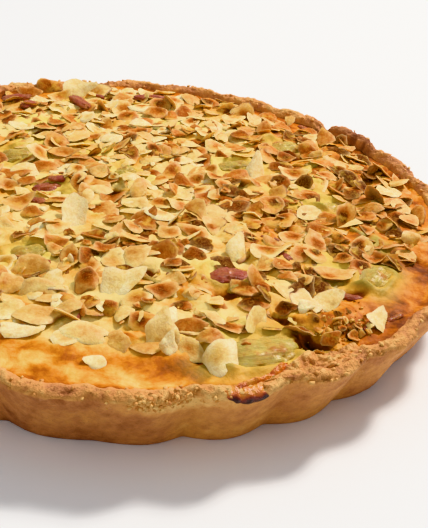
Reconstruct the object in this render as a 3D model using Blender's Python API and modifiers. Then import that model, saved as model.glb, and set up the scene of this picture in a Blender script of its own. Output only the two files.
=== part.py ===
"""A rhubarb and almond tart: a fluted pastry case, a set custard with flaked almonds, and rhubarb pieces.

Metres, +Z up. The origin is the centre of the underside. A bearing is in degrees round the tart from
its front, which is -Y, towards +X.
"""

import math
from collections import namedtuple

import bmesh
import bpy
import numpy as np
from mathutils import Euler, Matrix, Vector

# Pastry case
RIM_RADIUS = 0.140
RIM_HEIGHT = 0.027
CREST_RADIUS = 0.1368
CREST_HEIGHT = 0.0294
BASE_RADIUS = 0.1266
FLOOR_RADIUS = 0.118
FLOOR_HEIGHT = 0.005
INNER_RIM_RADIUS = 0.1329
INNER_RIM_HEIGHT = 0.028
INNER_BEND_RADIUS = 0.1315
INNER_BEND_HEIGHT = 0.024

# Points of the section beside the crest, and beside the foot: how far out and up from it
CREST_INSIDE = (-0.0024, -0.0003)
CREST_OUTSIDE = (0.0022, -0.0007)
FOOT_HEIGHT = 0.0018
FOOT_SWELL = 0.0004

# Flutes pressed into the wall by the tin
FLUTES = 26
FLUTE_PHASE = 9.5
FLUTE_DEPTH = 0.0046
FLUTE_DEPTH_AT_BASE = 0.0036
FLUTE_STEPS = 6
INNER_FLUTE_SHARE = 0.45
UNEVEN_FLUTES = 0.15
SHALLOW_VALLEY = -4.35
SHALLOW_SHARE = 0.35
FLUTE_SEED = 5

# Unevenness of the baked rim. Crumbs reach the outer part of the wall, and its upper edge is partly lifted
RIM_WAVE = 0.0007
RIM_WAVE_SIZE = 0.034
RIM_WAVE_SEED = 32
CRUMB = 0.0006
CRUMB_SIZE = 0.006
CRUMB_SEED = 31
CRUMB_LIFT_SEED = 33
OUTER_PART = 0.95
UPPER_EDGE = 0.9 * RIM_HEIGHT
UPPER_EDGE_LIFT = 0.6
HIGH_STRETCH = (121.0, 133.0)
HIGH_STRETCH_RISE = 0.0016
NOTCH_BEARING = 134.1
NOTCH_WIDTH = 1.6
NOTCH_DEPTH = 0.0022

# Custard
GAP = 0.00035
CENTRE_HEIGHT = 0.0292
EDGE_LEVELS = (
    (-180.0, 0.0268),
    (-120.0, 0.0272),
    (-60.0, 0.0270),
    (0.0, 0.0268),
    (45.0, 0.0264),
    (90.0, 0.0256),
    (115.0, 0.0248),
    (150.0, 0.0250),
    (180.0, 0.0268),
)
DOME_POWER = 2
LUMP = 0.0013
LUMP_SIZE = 0.024
LUMP_SEED = 21
SMALL_LUMP = 0.0006
SMALL_LUMP_SIZE = 0.010
SMALL_LUMP_SEED = 22
LUMP_FADE_POWER = 6
CUSTARD_STEPS_PER_FLUTE = 3
CUSTARD_RINGS = (0.020, 0.043, 0.066, 0.088, 0.107, 0.123)
CUSTARD_SIDE_HEIGHT = 0.022

# Custard that boiled over the rim: bearing, radius and height, then its half sizes round, out and up
SPILL_SEGMENTS = 14
SPILL_RINGS = 8
SPILLS = (
    ((15.4, 0.1325, 0.0279), (0.0128, 0.0088, 0.0023)),
    ((18.6, 0.1358, 0.0276), (0.0060, 0.0048, 0.0027)),
    ((14.8, 0.1394, 0.0264), (0.0082, 0.0024, 0.0034)),
)

# Flaked almonds
FLAKE_SEED = 11
FLAKE_DARTS = 3000
FLAKE_SPACING = 0.0138
FLAKE_LENGTHS = (0.0165, 0.0120)
FLAKE_WIDTH_SHARE = (0.66, 0.84)
FLAKE_THICKNESS = 0.0014
FLAKE_LIFT = 0.0006
FLAKE_MOST_TILT = 15.0
FLAKE_SIDES = 7
FLAKE_TOP_SHARE = 0.88
FLAKE_POINT = 0.22
FLAKES_WANTED = 132
ALMOND_EDGES = (
    (-180.0, 0.122),
    (-90.0, 0.119),
    (-30.0, 0.113),
    (-10.0, 0.109),
    (6.0, 0.110),
    (20.0, 0.116),
    (50.0, 0.109),
    (70.0, 0.111),
    (90.0, 0.115),
    (120.0, 0.119),
    (150.0, 0.123),
    (180.0, 0.122),
)

# Rhubarb
CHUNK_HEIGHT = 0.0085
CHUNK_RISE = 0.0024
CHUNK_SIDES = 10
CHUNK_BEVEL = 0.0011
CHUNK_SLANT = 0.22
CHUNK_FLAT_SIDE = -0.30
CHUNK_UNEVEN = 0.0005
CHUNK_END_ANGLE = math.radians(60.0)
CHUNK_CLEARANCE = 0.0012
POCKET_GAPS = 4.0

# Where each piece of rhubarb lies, its length and width, its turn in degrees and its colour
Chunk = namedtuple("Chunk", "x y length width turn colour")
CHUNKS = (
    Chunk(0.0440, -0.1080, 0.028, 0.0190, 15, "green"),
    Chunk(0.0935, -0.0565, 0.017, 0.0130, 60, "green"),
    Chunk(0.0700, 0.0650, 0.018, 0.0130, 10, "green"),
    Chunk(0.0450, 0.0370, 0.020, 0.0110, 5, "green"),
    Chunk(0.0850, 0.0010, 0.019, 0.0120, -35, "green"),
    Chunk(-0.0060, 0.0190, 0.014, 0.0100, 50, "green"),
    Chunk(-0.0310, 0.0990, 0.014, 0.0100, -40, "pink"),
    Chunk(-0.0370, 0.0010, 0.016, 0.0090, 5, "pink"),
    Chunk(-0.0540, 0.0330, 0.016, 0.0120, 25, "green"),
    Chunk(0.0360, -0.0640, 0.018, 0.0110, -10, "pink"),
    Chunk(-0.0400, -0.0520, 0.017, 0.0110, 30, "green"),
    Chunk(-0.0900, -0.0420, 0.020, 0.0130, -25, "green"),
    Chunk(-0.0860, 0.0600, 0.016, 0.0110, 70, "pink"),
    Chunk(-0.1020, 0.0090, 0.017, 0.0120, 10, "green"),
)

NOISE_CELLS = 64
MERGE = 0.00001
SHARP_ANGLE = math.radians(35.0)


def bearing_of(x, y):
    """Degrees round from the front, -Y, towards +X."""
    return np.degrees(np.arctan2(x, -y))


def place_at(bearing, radius, height):
    angle = math.radians(bearing)
    return Vector((radius * math.sin(angle), -radius * math.cos(angle), height))


def read_off(stations, bearing):
    """The value at a bearing, straight between the stations that stand round the tart."""
    bearings, values = zip(*stations)
    return np.interp(bearing, bearings, values)


def lattice_noise(x, y, seed, size):
    """Random heights from -1 to 1 at the corners of square cells, blended smoothly between them."""
    corners = np.random.default_rng(seed).uniform(-1.0, 1.0, (NOISE_CELLS, NOISE_CELLS))
    column = np.floor(x / size).astype(int)
    row = np.floor(y / size).astype(int)
    u = x / size - column
    v = y / size - row
    u = u * u * (3.0 - 2.0 * u)
    v = v * v * (3.0 - 2.0 * v)
    i, j = column % NOISE_CELLS, row % NOISE_CELLS
    k, m = (i + 1) % NOISE_CELLS, (j + 1) % NOISE_CELLS
    near = corners[i, j] * (1.0 - u) + corners[k, j] * u
    far = corners[i, m] * (1.0 - u) + corners[k, m] * u
    return near * (1.0 - v) + far * v


def flute_dip(bearing):
    """How far the wall is pressed in: 0 on the crown of a flute, and about 1 in the valley between two."""
    turns = (bearing - FLUTE_PHASE) * FLUTES / 360.0
    valley = np.round(turns).astype(int) % FLUTES
    strength = 1.0 + UNEVEN_FLUTES * np.random.default_rng(FLUTE_SEED).uniform(-1.0, 1.0, FLUTES)
    shallow = round((SHALLOW_VALLEY - FLUTE_PHASE) * FLUTES / 360.0) % FLUTES
    strength[shallow] = SHALLOW_SHARE
    return strength[valley] * (1.0 - np.abs(np.sin(np.pi * turns)))


def flute_depth(height):
    return np.interp(height, (0.0, RIM_HEIGHT), (FLUTE_DEPTH_AT_BASE, FLUTE_DEPTH))


def inner_wall(height):
    """Radius of the case's inside wall before the flutes press it in."""
    heights = (FLOOR_HEIGHT, INNER_BEND_HEIGHT, INNER_RIM_HEIGHT)
    return np.interp(height, heights, (FLOOR_RADIUS, INNER_BEND_RADIUS, INNER_RIM_RADIUS))


def fluted_inner_wall(height, bearing):
    return inner_wall(height) - INNER_FLUTE_SHARE * flute_depth(height) * flute_dip(bearing)


def outer_wall(height):
    return np.interp(height, (0.0, RIM_HEIGHT), (BASE_RADIUS, RIM_RADIUS))


def custard_height(x, y):
    """The custard's surface: low at the case, domed in the middle, with lumps from what lies in it."""
    share = np.minimum(np.hypot(x, y) / INNER_BEND_RADIUS, 1.0)
    edge = read_off(EDGE_LEVELS, bearing_of(x, y))
    dome = (CENTRE_HEIGHT - edge) * (1.0 - share**DOME_POWER)
    lumps = LUMP * lattice_noise(x, y, LUMP_SEED, LUMP_SIZE)
    lumps += SMALL_LUMP * lattice_noise(x, y, SMALL_LUMP_SEED, SMALL_LUMP_SIZE)
    return edge + dome + lumps * (1.0 - share**LUMP_FADE_POWER)


def clear_scene():
    for obj in list(bpy.data.objects):
        bpy.data.objects.remove(obj)


def new_collection(name):
    collection = bpy.data.collections.new(name)
    bpy.context.scene.collection.children.link(collection)
    return collection


def plain_material(name, colour, roughness):
    material = bpy.data.materials.new(name)
    material.use_nodes = True
    shader = material.node_tree.nodes["Principled BSDF"]
    shader.inputs["Base Color"].default_value = (*colour, 1.0)
    shader.inputs["Roughness"].default_value = roughness
    shader.inputs["Metallic"].default_value = 0.0
    return material


def pastry_material():
    return plain_material("baked_pastry", (0.50, 0.26, 0.10), 0.75)


def custard_material():
    return plain_material("almond_custard", (0.72, 0.42, 0.10), 0.45)


def rhubarb_materials():
    return {
        "green": plain_material("green_rhubarb", (0.55, 0.48, 0.12), 0.30),
        "pink": plain_material("pink_rhubarb", (0.55, 0.16, 0.12), 0.30),
    }


def apply_modifiers(obj):
    """Gives the object the mesh that its modifiers make of it."""
    bpy.context.view_layer.update()
    graph = bpy.context.evaluated_depsgraph_get()
    mesh = bpy.data.meshes.new_from_object(obj.evaluated_get(graph))
    obj.modifiers.clear()
    obj.data = mesh


def weld(obj):
    """Joins the turned mesh along its seam and on its axis, and points its faces outwards."""
    bm = bmesh.new()
    bm.from_mesh(obj.data)
    bmesh.ops.remove_doubles(bm, verts=bm.verts, dist=MERGE)
    bmesh.ops.recalc_face_normals(bm, faces=bm.faces)
    bm.to_mesh(obj.data)
    bm.free()


def turned(name, profile, steps, collection, material):
    """A solid turned from points of radius and height, with its seam in the valley between two flutes."""
    start = place_at(FLUTE_PHASE, 1.0, 0.0)
    points = [(radius * start.x, radius * start.y, height) for radius, height in profile]
    mesh = bpy.data.meshes.new(name)
    mesh.from_pydata(points, [(i, i + 1) for i in range(len(points) - 1)], [])
    mesh.materials.append(material)
    obj = bpy.data.objects.new(name, mesh)
    collection.objects.link(obj)
    screw = obj.modifiers.new("turn", "SCREW")
    screw.angle = math.tau
    screw.steps = steps
    screw.render_steps = steps
    screw.use_merge_vertices = True
    screw.merge_threshold = MERGE
    apply_modifiers(obj)
    weld(obj)
    return obj


def reshape(obj, move):
    """Moves every point of a mesh at once, by a function of their coordinates."""
    count = len(obj.data.vertices)
    points = np.empty(count * 3)
    obj.data.vertices.foreach_get("co", points)
    obj.data.vertices.foreach_set("co", move(points.reshape(count, 3)).ravel())
    obj.data.update()


def scaled_out(points, radius, target):
    """The points at new distances from the axis, each on its own bearing."""
    factor = np.divide(target, radius, out=np.ones_like(radius), where=radius > MERGE)
    return points * np.column_stack([factor, factor, np.ones_like(factor)])


def fluted_and_crumbly(points):
    """The plain turned case with its flutes pressed in, a wavy crumbly rim, a high stretch and a notch."""
    x, y, height = points.T
    radius = np.hypot(x, y)
    bearing = bearing_of(x, y)
    inner, outer = inner_wall(height), outer_wall(height)
    across = np.clip((radius - inner) / (outer - inner), 0.0, 1.0)
    share = INNER_FLUTE_SHARE + (1.0 - INNER_FLUTE_SHARE) * across
    inward = share * flute_depth(height) * flute_dip(bearing)
    crumbs = CRUMB * lattice_noise(x + height, y - height, CRUMB_SEED, CRUMB_SIZE)
    outside = across > OUTER_PART
    moved = scaled_out(points, radius, radius - inward + crumbs * outside)
    on_rim = np.clip((height - INNER_RIM_HEIGHT) / (CREST_HEIGHT - INNER_RIM_HEIGHT), 0.0, 1.0)
    on_rim = np.maximum(on_rim, UPPER_EDGE_LIFT * outside * (height > UPPER_EDGE))
    lift = RIM_WAVE * lattice_noise(x, y, RIM_WAVE_SEED, RIM_WAVE_SIZE)
    lift += CRUMB * lattice_noise(x, y, CRUMB_LIFT_SEED, CRUMB_SIZE)
    lift += HIGH_STRETCH_RISE * ((bearing > HIGH_STRETCH[0]) & (bearing < HIGH_STRETCH[1]))
    lift -= NOTCH_DEPTH * (np.abs(bearing - NOTCH_BEARING) < NOTCH_WIDTH)
    moved[:, 2] += on_rim * lift
    return moved


def spill_solid(number, spill, grow, collection):
    """A flattened ball of custard that lies over the rim."""
    (bearing, radius, height), half_sizes = spill
    bm = bmesh.new()
    bmesh.ops.create_uvsphere(bm, u_segments=SPILL_SEGMENTS, v_segments=SPILL_RINGS, radius=1.0)
    mesh = bpy.data.meshes.new(f"spill_{number}")
    bm.to_mesh(mesh)
    bm.free()
    obj = bpy.data.objects.new(mesh.name, mesh)
    turn = Matrix.Rotation(math.radians(bearing), 4, "Z")
    size = Matrix.Diagonal(Vector([half + grow for half in half_sizes])).to_4x4()
    obj.matrix_world = Matrix.Translation(place_at(bearing, radius, height)) @ turn @ size
    collection.objects.link(obj)
    return obj


def hide_cutter(obj):
    obj.hide_render = True
    obj.display_type = "WIRE"


def cut_by(obj, cutters, solver):
    cut = obj.modifiers.new("cut", "BOOLEAN")
    cut.operation = "DIFFERENCE"
    cut.operand_type = "COLLECTION"
    cut.collection = cutters
    cut.solver = solver


def build_case(parts, cutters):
    """The pastry case: a thin floor and a fluted wall with a rounded crest, cut back under the spill."""
    profile = (
        (0.0, FLOOR_HEIGHT),
        (FLOOR_RADIUS, FLOOR_HEIGHT),
        (INNER_BEND_RADIUS, INNER_BEND_HEIGHT),
        (INNER_RIM_RADIUS, INNER_RIM_HEIGHT),
        (CREST_RADIUS + CREST_INSIDE[0], CREST_HEIGHT + CREST_INSIDE[1]),
        (CREST_RADIUS, CREST_HEIGHT),
        (CREST_RADIUS + CREST_OUTSIDE[0], CREST_HEIGHT + CREST_OUTSIDE[1]),
        (RIM_RADIUS, RIM_HEIGHT),
        (outer_wall(0.5 * RIM_HEIGHT), 0.5 * RIM_HEIGHT),
        (outer_wall(FOOT_HEIGHT) + FOOT_SWELL, FOOT_HEIGHT),
        (BASE_RADIUS, 0.0),
        (0.0, 0.0),
    )
    case = turned("crust", profile, FLUTES * FLUTE_STEPS, parts, pastry_material())
    reshape(case, fluted_and_crumbly)
    for number, spill in enumerate(SPILLS):
        hide_cutter(spill_solid(number, spill, GAP, cutters))
    cut_by(case, cutters, "EXACT")
    return case


def fitted_in_case(points):
    """The plain turned custard with its surface raised, and its side fitted to the fluted wall."""
    x, y, height = points.T
    radius = np.hypot(x, y)
    bearing = bearing_of(x, y)
    on_top = height > INNER_BEND_HEIGHT
    on_edge = on_top & (radius > INNER_BEND_RADIUS)
    on_side = on_edge | (~on_top & (radius > 0.5 * FLOOR_RADIUS))
    level = np.where(on_top, custard_height(x, y), height)
    target = np.where(on_side, fluted_inner_wall(level, bearing) - GAP, radius)
    moved = scaled_out(points, radius, target)
    moved[:, 2] = level
    return moved


def build_custard_body(parts):
    bottom = FLOOR_HEIGHT + GAP
    profile = [(0.0, CENTRE_HEIGHT)]
    profile += [(radius, CENTRE_HEIGHT) for radius in CUSTARD_RINGS]
    profile += [
        (INNER_RIM_RADIUS, CENTRE_HEIGHT),
        (inner_wall(CUSTARD_SIDE_HEIGHT), CUSTARD_SIDE_HEIGHT),
        (FLOOR_RADIUS, bottom),
        (0.0, bottom),
    ]
    custard = turned("custard", profile, FLUTES * CUSTARD_STEPS_PER_FLUTE, parts, custard_material())
    reshape(custard, fitted_in_case)
    return custard


def clear_of_chunks(spot, reach):
    return all(
        math.hypot(spot.x - chunk.x, spot.y - chunk.y)
        > 0.5 * math.hypot(chunk.length, chunk.width) + CHUNK_CLEARANCE + reach
        for chunk in CHUNKS
    )


def draw_flakes():
    """Flaked almonds thrown at random on the custard, the longest first, clear of each other and the rhubarb.

    Each is its place, length, width, turn, tilt and the bearing that it tilts towards.
    """
    draw = np.random.default_rng(FLAKE_SEED)
    reach = max(edge for _, edge in ALMOND_EDGES)
    flakes = []
    for _ in range(FLAKE_DARTS):
        radius = reach * math.sqrt(draw.random())
        spot = place_at(draw.uniform(-180.0, 180.0), radius, 0.0)
        width_share, turn, tilt, lean = draw.random(4)
        length = np.interp(len(flakes), (0, FLAKES_WANTED), FLAKE_LENGTHS)
        crowded = any((spot - flake[0]).length < FLAKE_SPACING for flake in flakes)
        outside = radius > read_off(ALMOND_EDGES, bearing_of(spot.x, spot.y))
        if crowded or outside or not clear_of_chunks(spot, 0.5 * length):
            continue
        width = length * np.interp(width_share, (0.0, 1.0), FLAKE_WIDTH_SHARE)
        flakes.append((spot, length, width, math.tau * turn, FLAKE_MOST_TILT * tilt, math.tau * lean))
    return flakes[:FLAKES_WANTED]


def flake_mesh():
    """A thin oval disc of unit size with one end drawn to a blunt point."""
    bm = bmesh.new()
    bmesh.ops.create_cone(
        bm, cap_ends=True, segments=FLAKE_SIDES, radius1=0.5, radius2=0.5 * FLAKE_TOP_SHARE, depth=1.0
    )
    for vert in bm.verts:
        vert.co.y *= 1.0 - FLAKE_POINT * (2.0 * vert.co.x)
    mesh = bpy.data.meshes.new("flake")
    bm.to_mesh(mesh)
    bm.free()
    return mesh


def build_flakes(collection):
    mesh = flake_mesh()
    for number, (spot, length, width, turn, tilt, lean) in enumerate(draw_flakes()):
        obj = bpy.data.objects.new(f"flake_{number:03d}", mesh)
        height = float(custard_height(spot.x, spot.y)) + FLAKE_LIFT
        tipped = Matrix.Rotation(math.radians(tilt), 4, Vector((math.cos(lean), math.sin(lean), 0.0)))
        laid = Matrix.Rotation(turn, 4, "Z")
        size = Matrix.Diagonal(Vector((length, width, FLAKE_THICKNESS))).to_4x4()
        obj.matrix_world = Matrix.Translation(Vector((spot.x, spot.y, height))) @ tipped @ laid @ size
        collection.objects.link(obj)


def keep_largest_shell(obj):
    """Drops the scraps that a union leaves loose, and the linings of hollows that it seals."""
    bm = bmesh.new()
    bm.from_mesh(obj.data)
    left = set(bm.verts)
    shells = []
    while left:
        shell = set()
        edge_of_shell = [left.pop()]
        while edge_of_shell:
            vert = edge_of_shell.pop()
            shell.add(vert)
            near = {edge.other_vert(vert) for edge in vert.link_edges} & left
            left -= near
            edge_of_shell.extend(near)
        shells.append(shell)
    largest = max(shells, key=len)
    loose = [vert for vert in bm.verts if vert not in largest]
    bmesh.ops.delete(bm, geom=loose, context="VERTS")
    bm.to_mesh(obj.data)
    bm.free()


def remove_collection(collection):
    for obj in list(collection.objects):
        bpy.data.objects.remove(obj)
    bpy.data.collections.remove(collection)


def dress_custard(custard):
    """Joins the flakes and the spill to the custard, then hollows the places where the rhubarb lies."""
    toppings = new_collection("toppings")
    build_flakes(toppings)
    for number, spill in enumerate(SPILLS):
        spill_solid(number, spill, 0.0, toppings)
    joined = custard.modifiers.new("toppings", "BOOLEAN")
    joined.operation = "UNION"
    joined.operand_type = "COLLECTION"
    joined.collection = toppings
    joined.solver = "MANIFOLD"
    apply_modifiers(custard)
    remove_collection(toppings)
    pockets = new_collection("pockets")
    for number in range(len(CHUNKS)):
        hide_cutter(chunk_solid(f"pocket_{number:02d}", number, GAP, pockets))
    cut_by(custard, pockets, "MANIFOLD")
    apply_modifiers(custard)
    remove_collection(pockets)
    keep_largest_shell(custard)


def chunk_mesh(name, number):
    """A short length of stalk, round above and flat below, its slanted ends softened, cooked uneven."""
    chunk = CHUNKS[number]
    draw = np.random.default_rng(number)
    bm = bmesh.new()
    bmesh.ops.create_cone(
        bm, cap_ends=True, segments=CHUNK_SIDES, radius1=0.5, radius2=0.5, depth=1.0,
        matrix=Euler((0.0, math.radians(90.0), 0.0)).to_matrix().to_4x4(),
    )
    for vert in bm.verts:
        vert.co.z = max(vert.co.z, CHUNK_FLAT_SIDE)
        vert.co.x += CHUNK_SLANT * vert.co.z
    bmesh.ops.scale(bm, vec=(chunk.length, chunk.width, CHUNK_HEIGHT), verts=bm.verts)
    ends = [edge for edge in bm.edges if edge.calc_face_angle() > CHUNK_END_ANGLE]
    bmesh.ops.bevel(bm, geom=ends, offset=CHUNK_BEVEL, segments=1, affect="EDGES")
    bmesh.ops.triangulate(bm, faces=bm.faces)
    for vert in bm.verts:
        vert.co += Vector(draw.uniform(-CHUNK_UNEVEN, CHUNK_UNEVEN, 3))
    mesh = bpy.data.meshes.new(name)
    bm.to_mesh(mesh)
    bm.free()
    return mesh


def chunk_solid(name, number, grow, collection):
    """One piece of rhubarb where it lies, with its top just above the custard, or its larger pocket."""
    chunk = CHUNKS[number]
    obj = bpy.data.objects.new(name, chunk_mesh(name, number))
    height = float(custard_height(chunk.x, chunk.y)) + CHUNK_RISE - 0.5 * CHUNK_HEIGHT
    sides = (chunk.length, chunk.width, CHUNK_HEIGHT)
    size = Matrix.Diagonal(Vector([1.0 + POCKET_GAPS * grow / side for side in sides])).to_4x4()
    turn = Matrix.Rotation(math.radians(chunk.turn), 4, "Z")
    obj.matrix_world = Matrix.Translation(Vector((chunk.x, chunk.y, height))) @ turn @ size
    collection.objects.link(obj)
    return obj


def build_rhubarb(parts):
    materials = rhubarb_materials()
    for number, chunk in enumerate(CHUNKS):
        piece = chunk_solid(f"rhubarb_{number + 1:02d}", number, 0.0, parts)
        piece.data.materials.append(materials[chunk.colour])
        shade(piece)


def shade(obj):
    obj.data.shade_smooth()
    obj.data.set_sharp_from_angle(angle=SHARP_ANGLE)


def build_tart():
    clear_scene()
    parts = new_collection("rhubarb_almond_tart")
    cutters = new_collection("cutters")
    case = build_case(parts, cutters)
    custard = build_custard_body(parts)
    dress_custard(custard)
    build_rhubarb(parts)
    shade(case)
    shade(custard)


build_tart()
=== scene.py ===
import math
from collections import namedtuple

import bpy
import numpy as np
from mathutils import Matrix, Vector


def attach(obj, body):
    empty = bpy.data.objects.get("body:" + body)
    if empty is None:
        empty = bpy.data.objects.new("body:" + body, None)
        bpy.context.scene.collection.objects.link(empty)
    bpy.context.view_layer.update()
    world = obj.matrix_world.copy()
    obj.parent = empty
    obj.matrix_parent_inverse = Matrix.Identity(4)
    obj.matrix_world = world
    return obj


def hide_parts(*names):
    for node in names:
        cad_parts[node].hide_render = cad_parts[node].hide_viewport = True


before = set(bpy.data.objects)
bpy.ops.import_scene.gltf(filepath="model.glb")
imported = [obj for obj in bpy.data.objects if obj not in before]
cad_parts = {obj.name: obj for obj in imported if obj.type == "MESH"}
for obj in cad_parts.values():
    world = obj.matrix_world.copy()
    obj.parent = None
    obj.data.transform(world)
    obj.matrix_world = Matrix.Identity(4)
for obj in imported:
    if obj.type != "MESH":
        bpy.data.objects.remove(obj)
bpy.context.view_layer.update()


def from_rows(kind, lengths, rows):
    """A table's rows as named tuples, with the first few columns, which are lengths, turned into metres."""
    return [kind(*(value / 1000.0 for value in row[:lengths]), *row[lengths:]) for row in rows]


# Metres, but millimetres in the tables made by from_rows. A bearing is in degrees round the tart from its
# front, -Y, towards +X.

# Pastry case
RIM_RADIUS = 0.140
RIM_HEIGHT = 0.027
CREST_RADIUS = 0.1368
CREST_HEIGHT = 0.0294
BASE_RADIUS = 0.1266
FOOT_BEND = 0.0018
FLOOR_RADIUS = 0.118
FLOOR_HEIGHT = 0.005
INNER_RIM_RADIUS = 0.1329
INNER_RIM_HEIGHT = 0.028
INNER_BEND_RADIUS = 0.1315
INNER_BEND_HEIGHT = 0.024

# The rim in section: radius and height from its inner edge over the crest to its outer edge
RIM_PROFILE = (
    (INNER_RIM_RADIUS, INNER_RIM_HEIGHT),
    (CREST_RADIUS - 0.0024, CREST_HEIGHT - 0.0003),
    (CREST_RADIUS, CREST_HEIGHT),
    (CREST_RADIUS + 0.0022, CREST_HEIGHT - 0.0007),
    (RIM_RADIUS, RIM_HEIGHT),
)

# The flutes, and what is uneven in them and in the rim
FLUTES = 26
FLUTE_PHASE = 9.5
FLUTE_SEED = 5
FLUTE_DEPTH = 0.0046
FLUTE_DEPTH_AT_BASE = 0.0036
INNER_FLUTE_SHARE = 0.45
UNEVEN_FLUTES = 0.15
SHALLOW_VALLEY = -4.35
SHALLOW_SHARE = 0.35
RIM_WAVE = 0.0007
RIM_WAVE_SIZE = 0.034
HIGH_STRETCH = (121.0, 133.0)
HIGH_STRETCH_RISE = 0.0016
NOTCH_BEARING = 134.1
NOTCH_WIDTH = 1.6
NOTCH_DEPTH = 0.0022
CASE_COLUMNS = 1300
CASE_STEP = 0.00075

# How deep the pastry is roughened
RIM_CRUMB = 0.00052
RIM_GRIT = 0.00038
WALL_CRUMB = 0.00034
WALL_GRIT = 0.00010
CHIP_DEPTH = 0.0010
PIT_DEPTH = 0.00040

# How darkly the rim is baked, by bearing, from 0, pale, to 1, dark brown
RIM_BAKE = (
    (-180, 0.30), (-150, 0.16), (-90, 0.30), (-20, 0.24), (-5, 0.34), (12, 0.20), (20, 0.28), (30, 0.30),
    (42, 0.30), (50, 0.42), (62, 0.48), (80, 0.46), (96, 0.38), (118, 0.40), (123, 0.62), (133, 0.60),
    (137, 0.32), (165, 0.26), (180, 0.30),
)

# How darkly the wall is baked
WALL_BAKE = ((-180, 0.56), (-10, 0.57), (2, 0.50), (9, 0.37), (50, 0.40), (100, 0.50), (180, 0.56))

# How much darker the rim's inner face is baked than its top
INNER_BAKE = (
    (-180, 0.16), (-90, 0.10), (0, 0.04), (60, 0.06), (100, 0.00), (150, 0.02), (170, 0.06), (180, 0.12),
)

# Custard
CENTRE_HEIGHT = 0.0292
EDGE_LEVELS = (
    (-180, 0.0268), (-120, 0.0272), (-60, 0.0270), (0, 0.0268), (45, 0.0264), (90, 0.0256), (115, 0.0248),
    (150, 0.0250), (180, 0.0268),
)
LUMP = 0.0013
LUMP_SIZE = 0.024
SMALL_LUMP = 0.0006
SMALL_LUMP_SIZE = 0.010
FINE_LUMP = 0.0004
SWELL = 0.0016
BANK = 0.0019
HOLLOW_RAGGEDNESS = 0.0022
CUSTARD_CLIMB = 0.0007
CUSTARD_OVERLAP = 0.0016
CUSTARD_BASE = 0.012
CUSTARD_COLUMNS = 640
CUSTARD_RINGS = 130

# The large almond flakes that the custard's solid carries, drawn as the solid draws them
Flake = namedtuple("Flake", "x y length width turn tilt lean", defaults=(0.0, 0.0))
FLAKE_SEED = 11
FLAKE_DARTS = 3000
FLAKES_WANTED = 132
FLAKE_SPACING = 0.0138
FLAKE_LENGTHS = (0.0165, 0.0120)
FLAKE_WIDTH_SHARE = (0.66, 0.84)
FLAKE_MOST_TILT = 15.0
FLAKE_LIFT = 0.0006
LARGE_FLAKE_THICKNESS = 0.0012
ALMOND_EDGES = (
    (-180, 0.122), (-90, 0.119), (-30, 0.113), (-10, 0.109), (6, 0.110), (20, 0.116), (50, 0.109),
    (70, 0.111), (90, 0.115), (120, 0.119), (150, 0.123), (180, 0.122),
)

# The shape of a flake
FLAKE_SIDES = 12
LAID_SIDES = 20
FLAKE_POINT = 0.22
FLAKE_THICKNESS = 0.0009
FLAKE_BEND = 0.0004
FLAKE_BUCKLE = 0.0003

# The loose flakes: how far out they lie by bearing, where they thin out there, and what they keep clear of
FLAKE_EDGES = (
    (-180, 0.1295), (-150, 0.1290), (-120, 0.1250), (-90, 0.120), (-30, 0.114), (-10, 0.110), (6, 0.111),
    (20, 0.116), (50, 0.110), (62, 0.114), (72, 0.121), (90, 0.1260), (115, 0.1280), (150, 0.1285),
    (180, 0.1295),
)
SMALL_FLAKE_WIDTH_SHARE = (0.58, 0.88)
FLAKE_THINNING = (-0.012, 0.002)
FLAKE_COVER_SIZE = 0.017
FLAKE_MOST_BURN_AND_SHADE = 0.28
FLAKE_CLEARANCE = 0.0010
LAID_CLEARANCE = 0.003

# What lies on the custard, in square cells, and the laps of custard over it
HEAP_CELL = 0.001
HEAP_REACH = 0.145
MOST_DRAPE = 0.0014
LAP_SWELL = 0.0003
LAP_EDGE = (0.112, 0.122)
PROUD_RISE = (0.0002, 0.0010)

# How toasted flakes are, from 0, cream, to 1, dark brown: most of them, the share that baked darker, the
# share with a browner patch in the middle, and the share with skin left along one edge
USUAL_TOAST = 0.235
TOAST_SPREAD = 0.15
BAKED_SHARE = 0.27
BAKED_TOAST = (0.40, 0.88)
PATCHED_SHARE = 0.62
PATCH_TOAST = (0.10, 0.80)
SKINNED_SHARE = 0.28

# Loose flakes that lean steeply: their share, their degrees of tilt, and how much higher they lie
STEEP_SHARE = 0.09
STEEP_TILT = (28.0, 58.0)
STEEP_RISE = 0.0012

# Rhubarb: thin shreds, and pieces of stalk with their place, length, width, turn and colour
SHRED_HEIGHT = 0.003
SHRED_RISE = (-0.0010, 0.0004)
CHUNK_HEIGHT = 0.0085
CHUNK_RISE = 0.0024
CHUNK_SLANT = 0.22
CHUNK_CLEARANCE = 0.0012
Chunk = namedtuple("Chunk", "x y length width turn colour")
CHUNKS = from_rows(Chunk, 4, (
    (44, -108, 28, 19, 15, "green"), (93.5, -56.5, 17, 13, 60, "green"), (70, 65, 18, 13, 10, "green"),
    (45, 37, 20, 11, 5, "green"), (85, 1, 19, 12, -35, "green"), (-6, 19, 14, 10, 50, "green"),
    (-31, 99, 14, 10, -40, "pink"), (-37, 1, 16, 9, 5, "pink"), (-54, 33, 16, 12, 25, "green"),
    (36, -64, 18, 11, -10, "pink"), (-40, -52, 17, 11, 30, "green"), (-90, -42, 20, 13, -25, "green"),
    (-86, 60, 16, 11, 70, "pink"), (-102, 9, 17, 12, 10, "green"),
))
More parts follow.
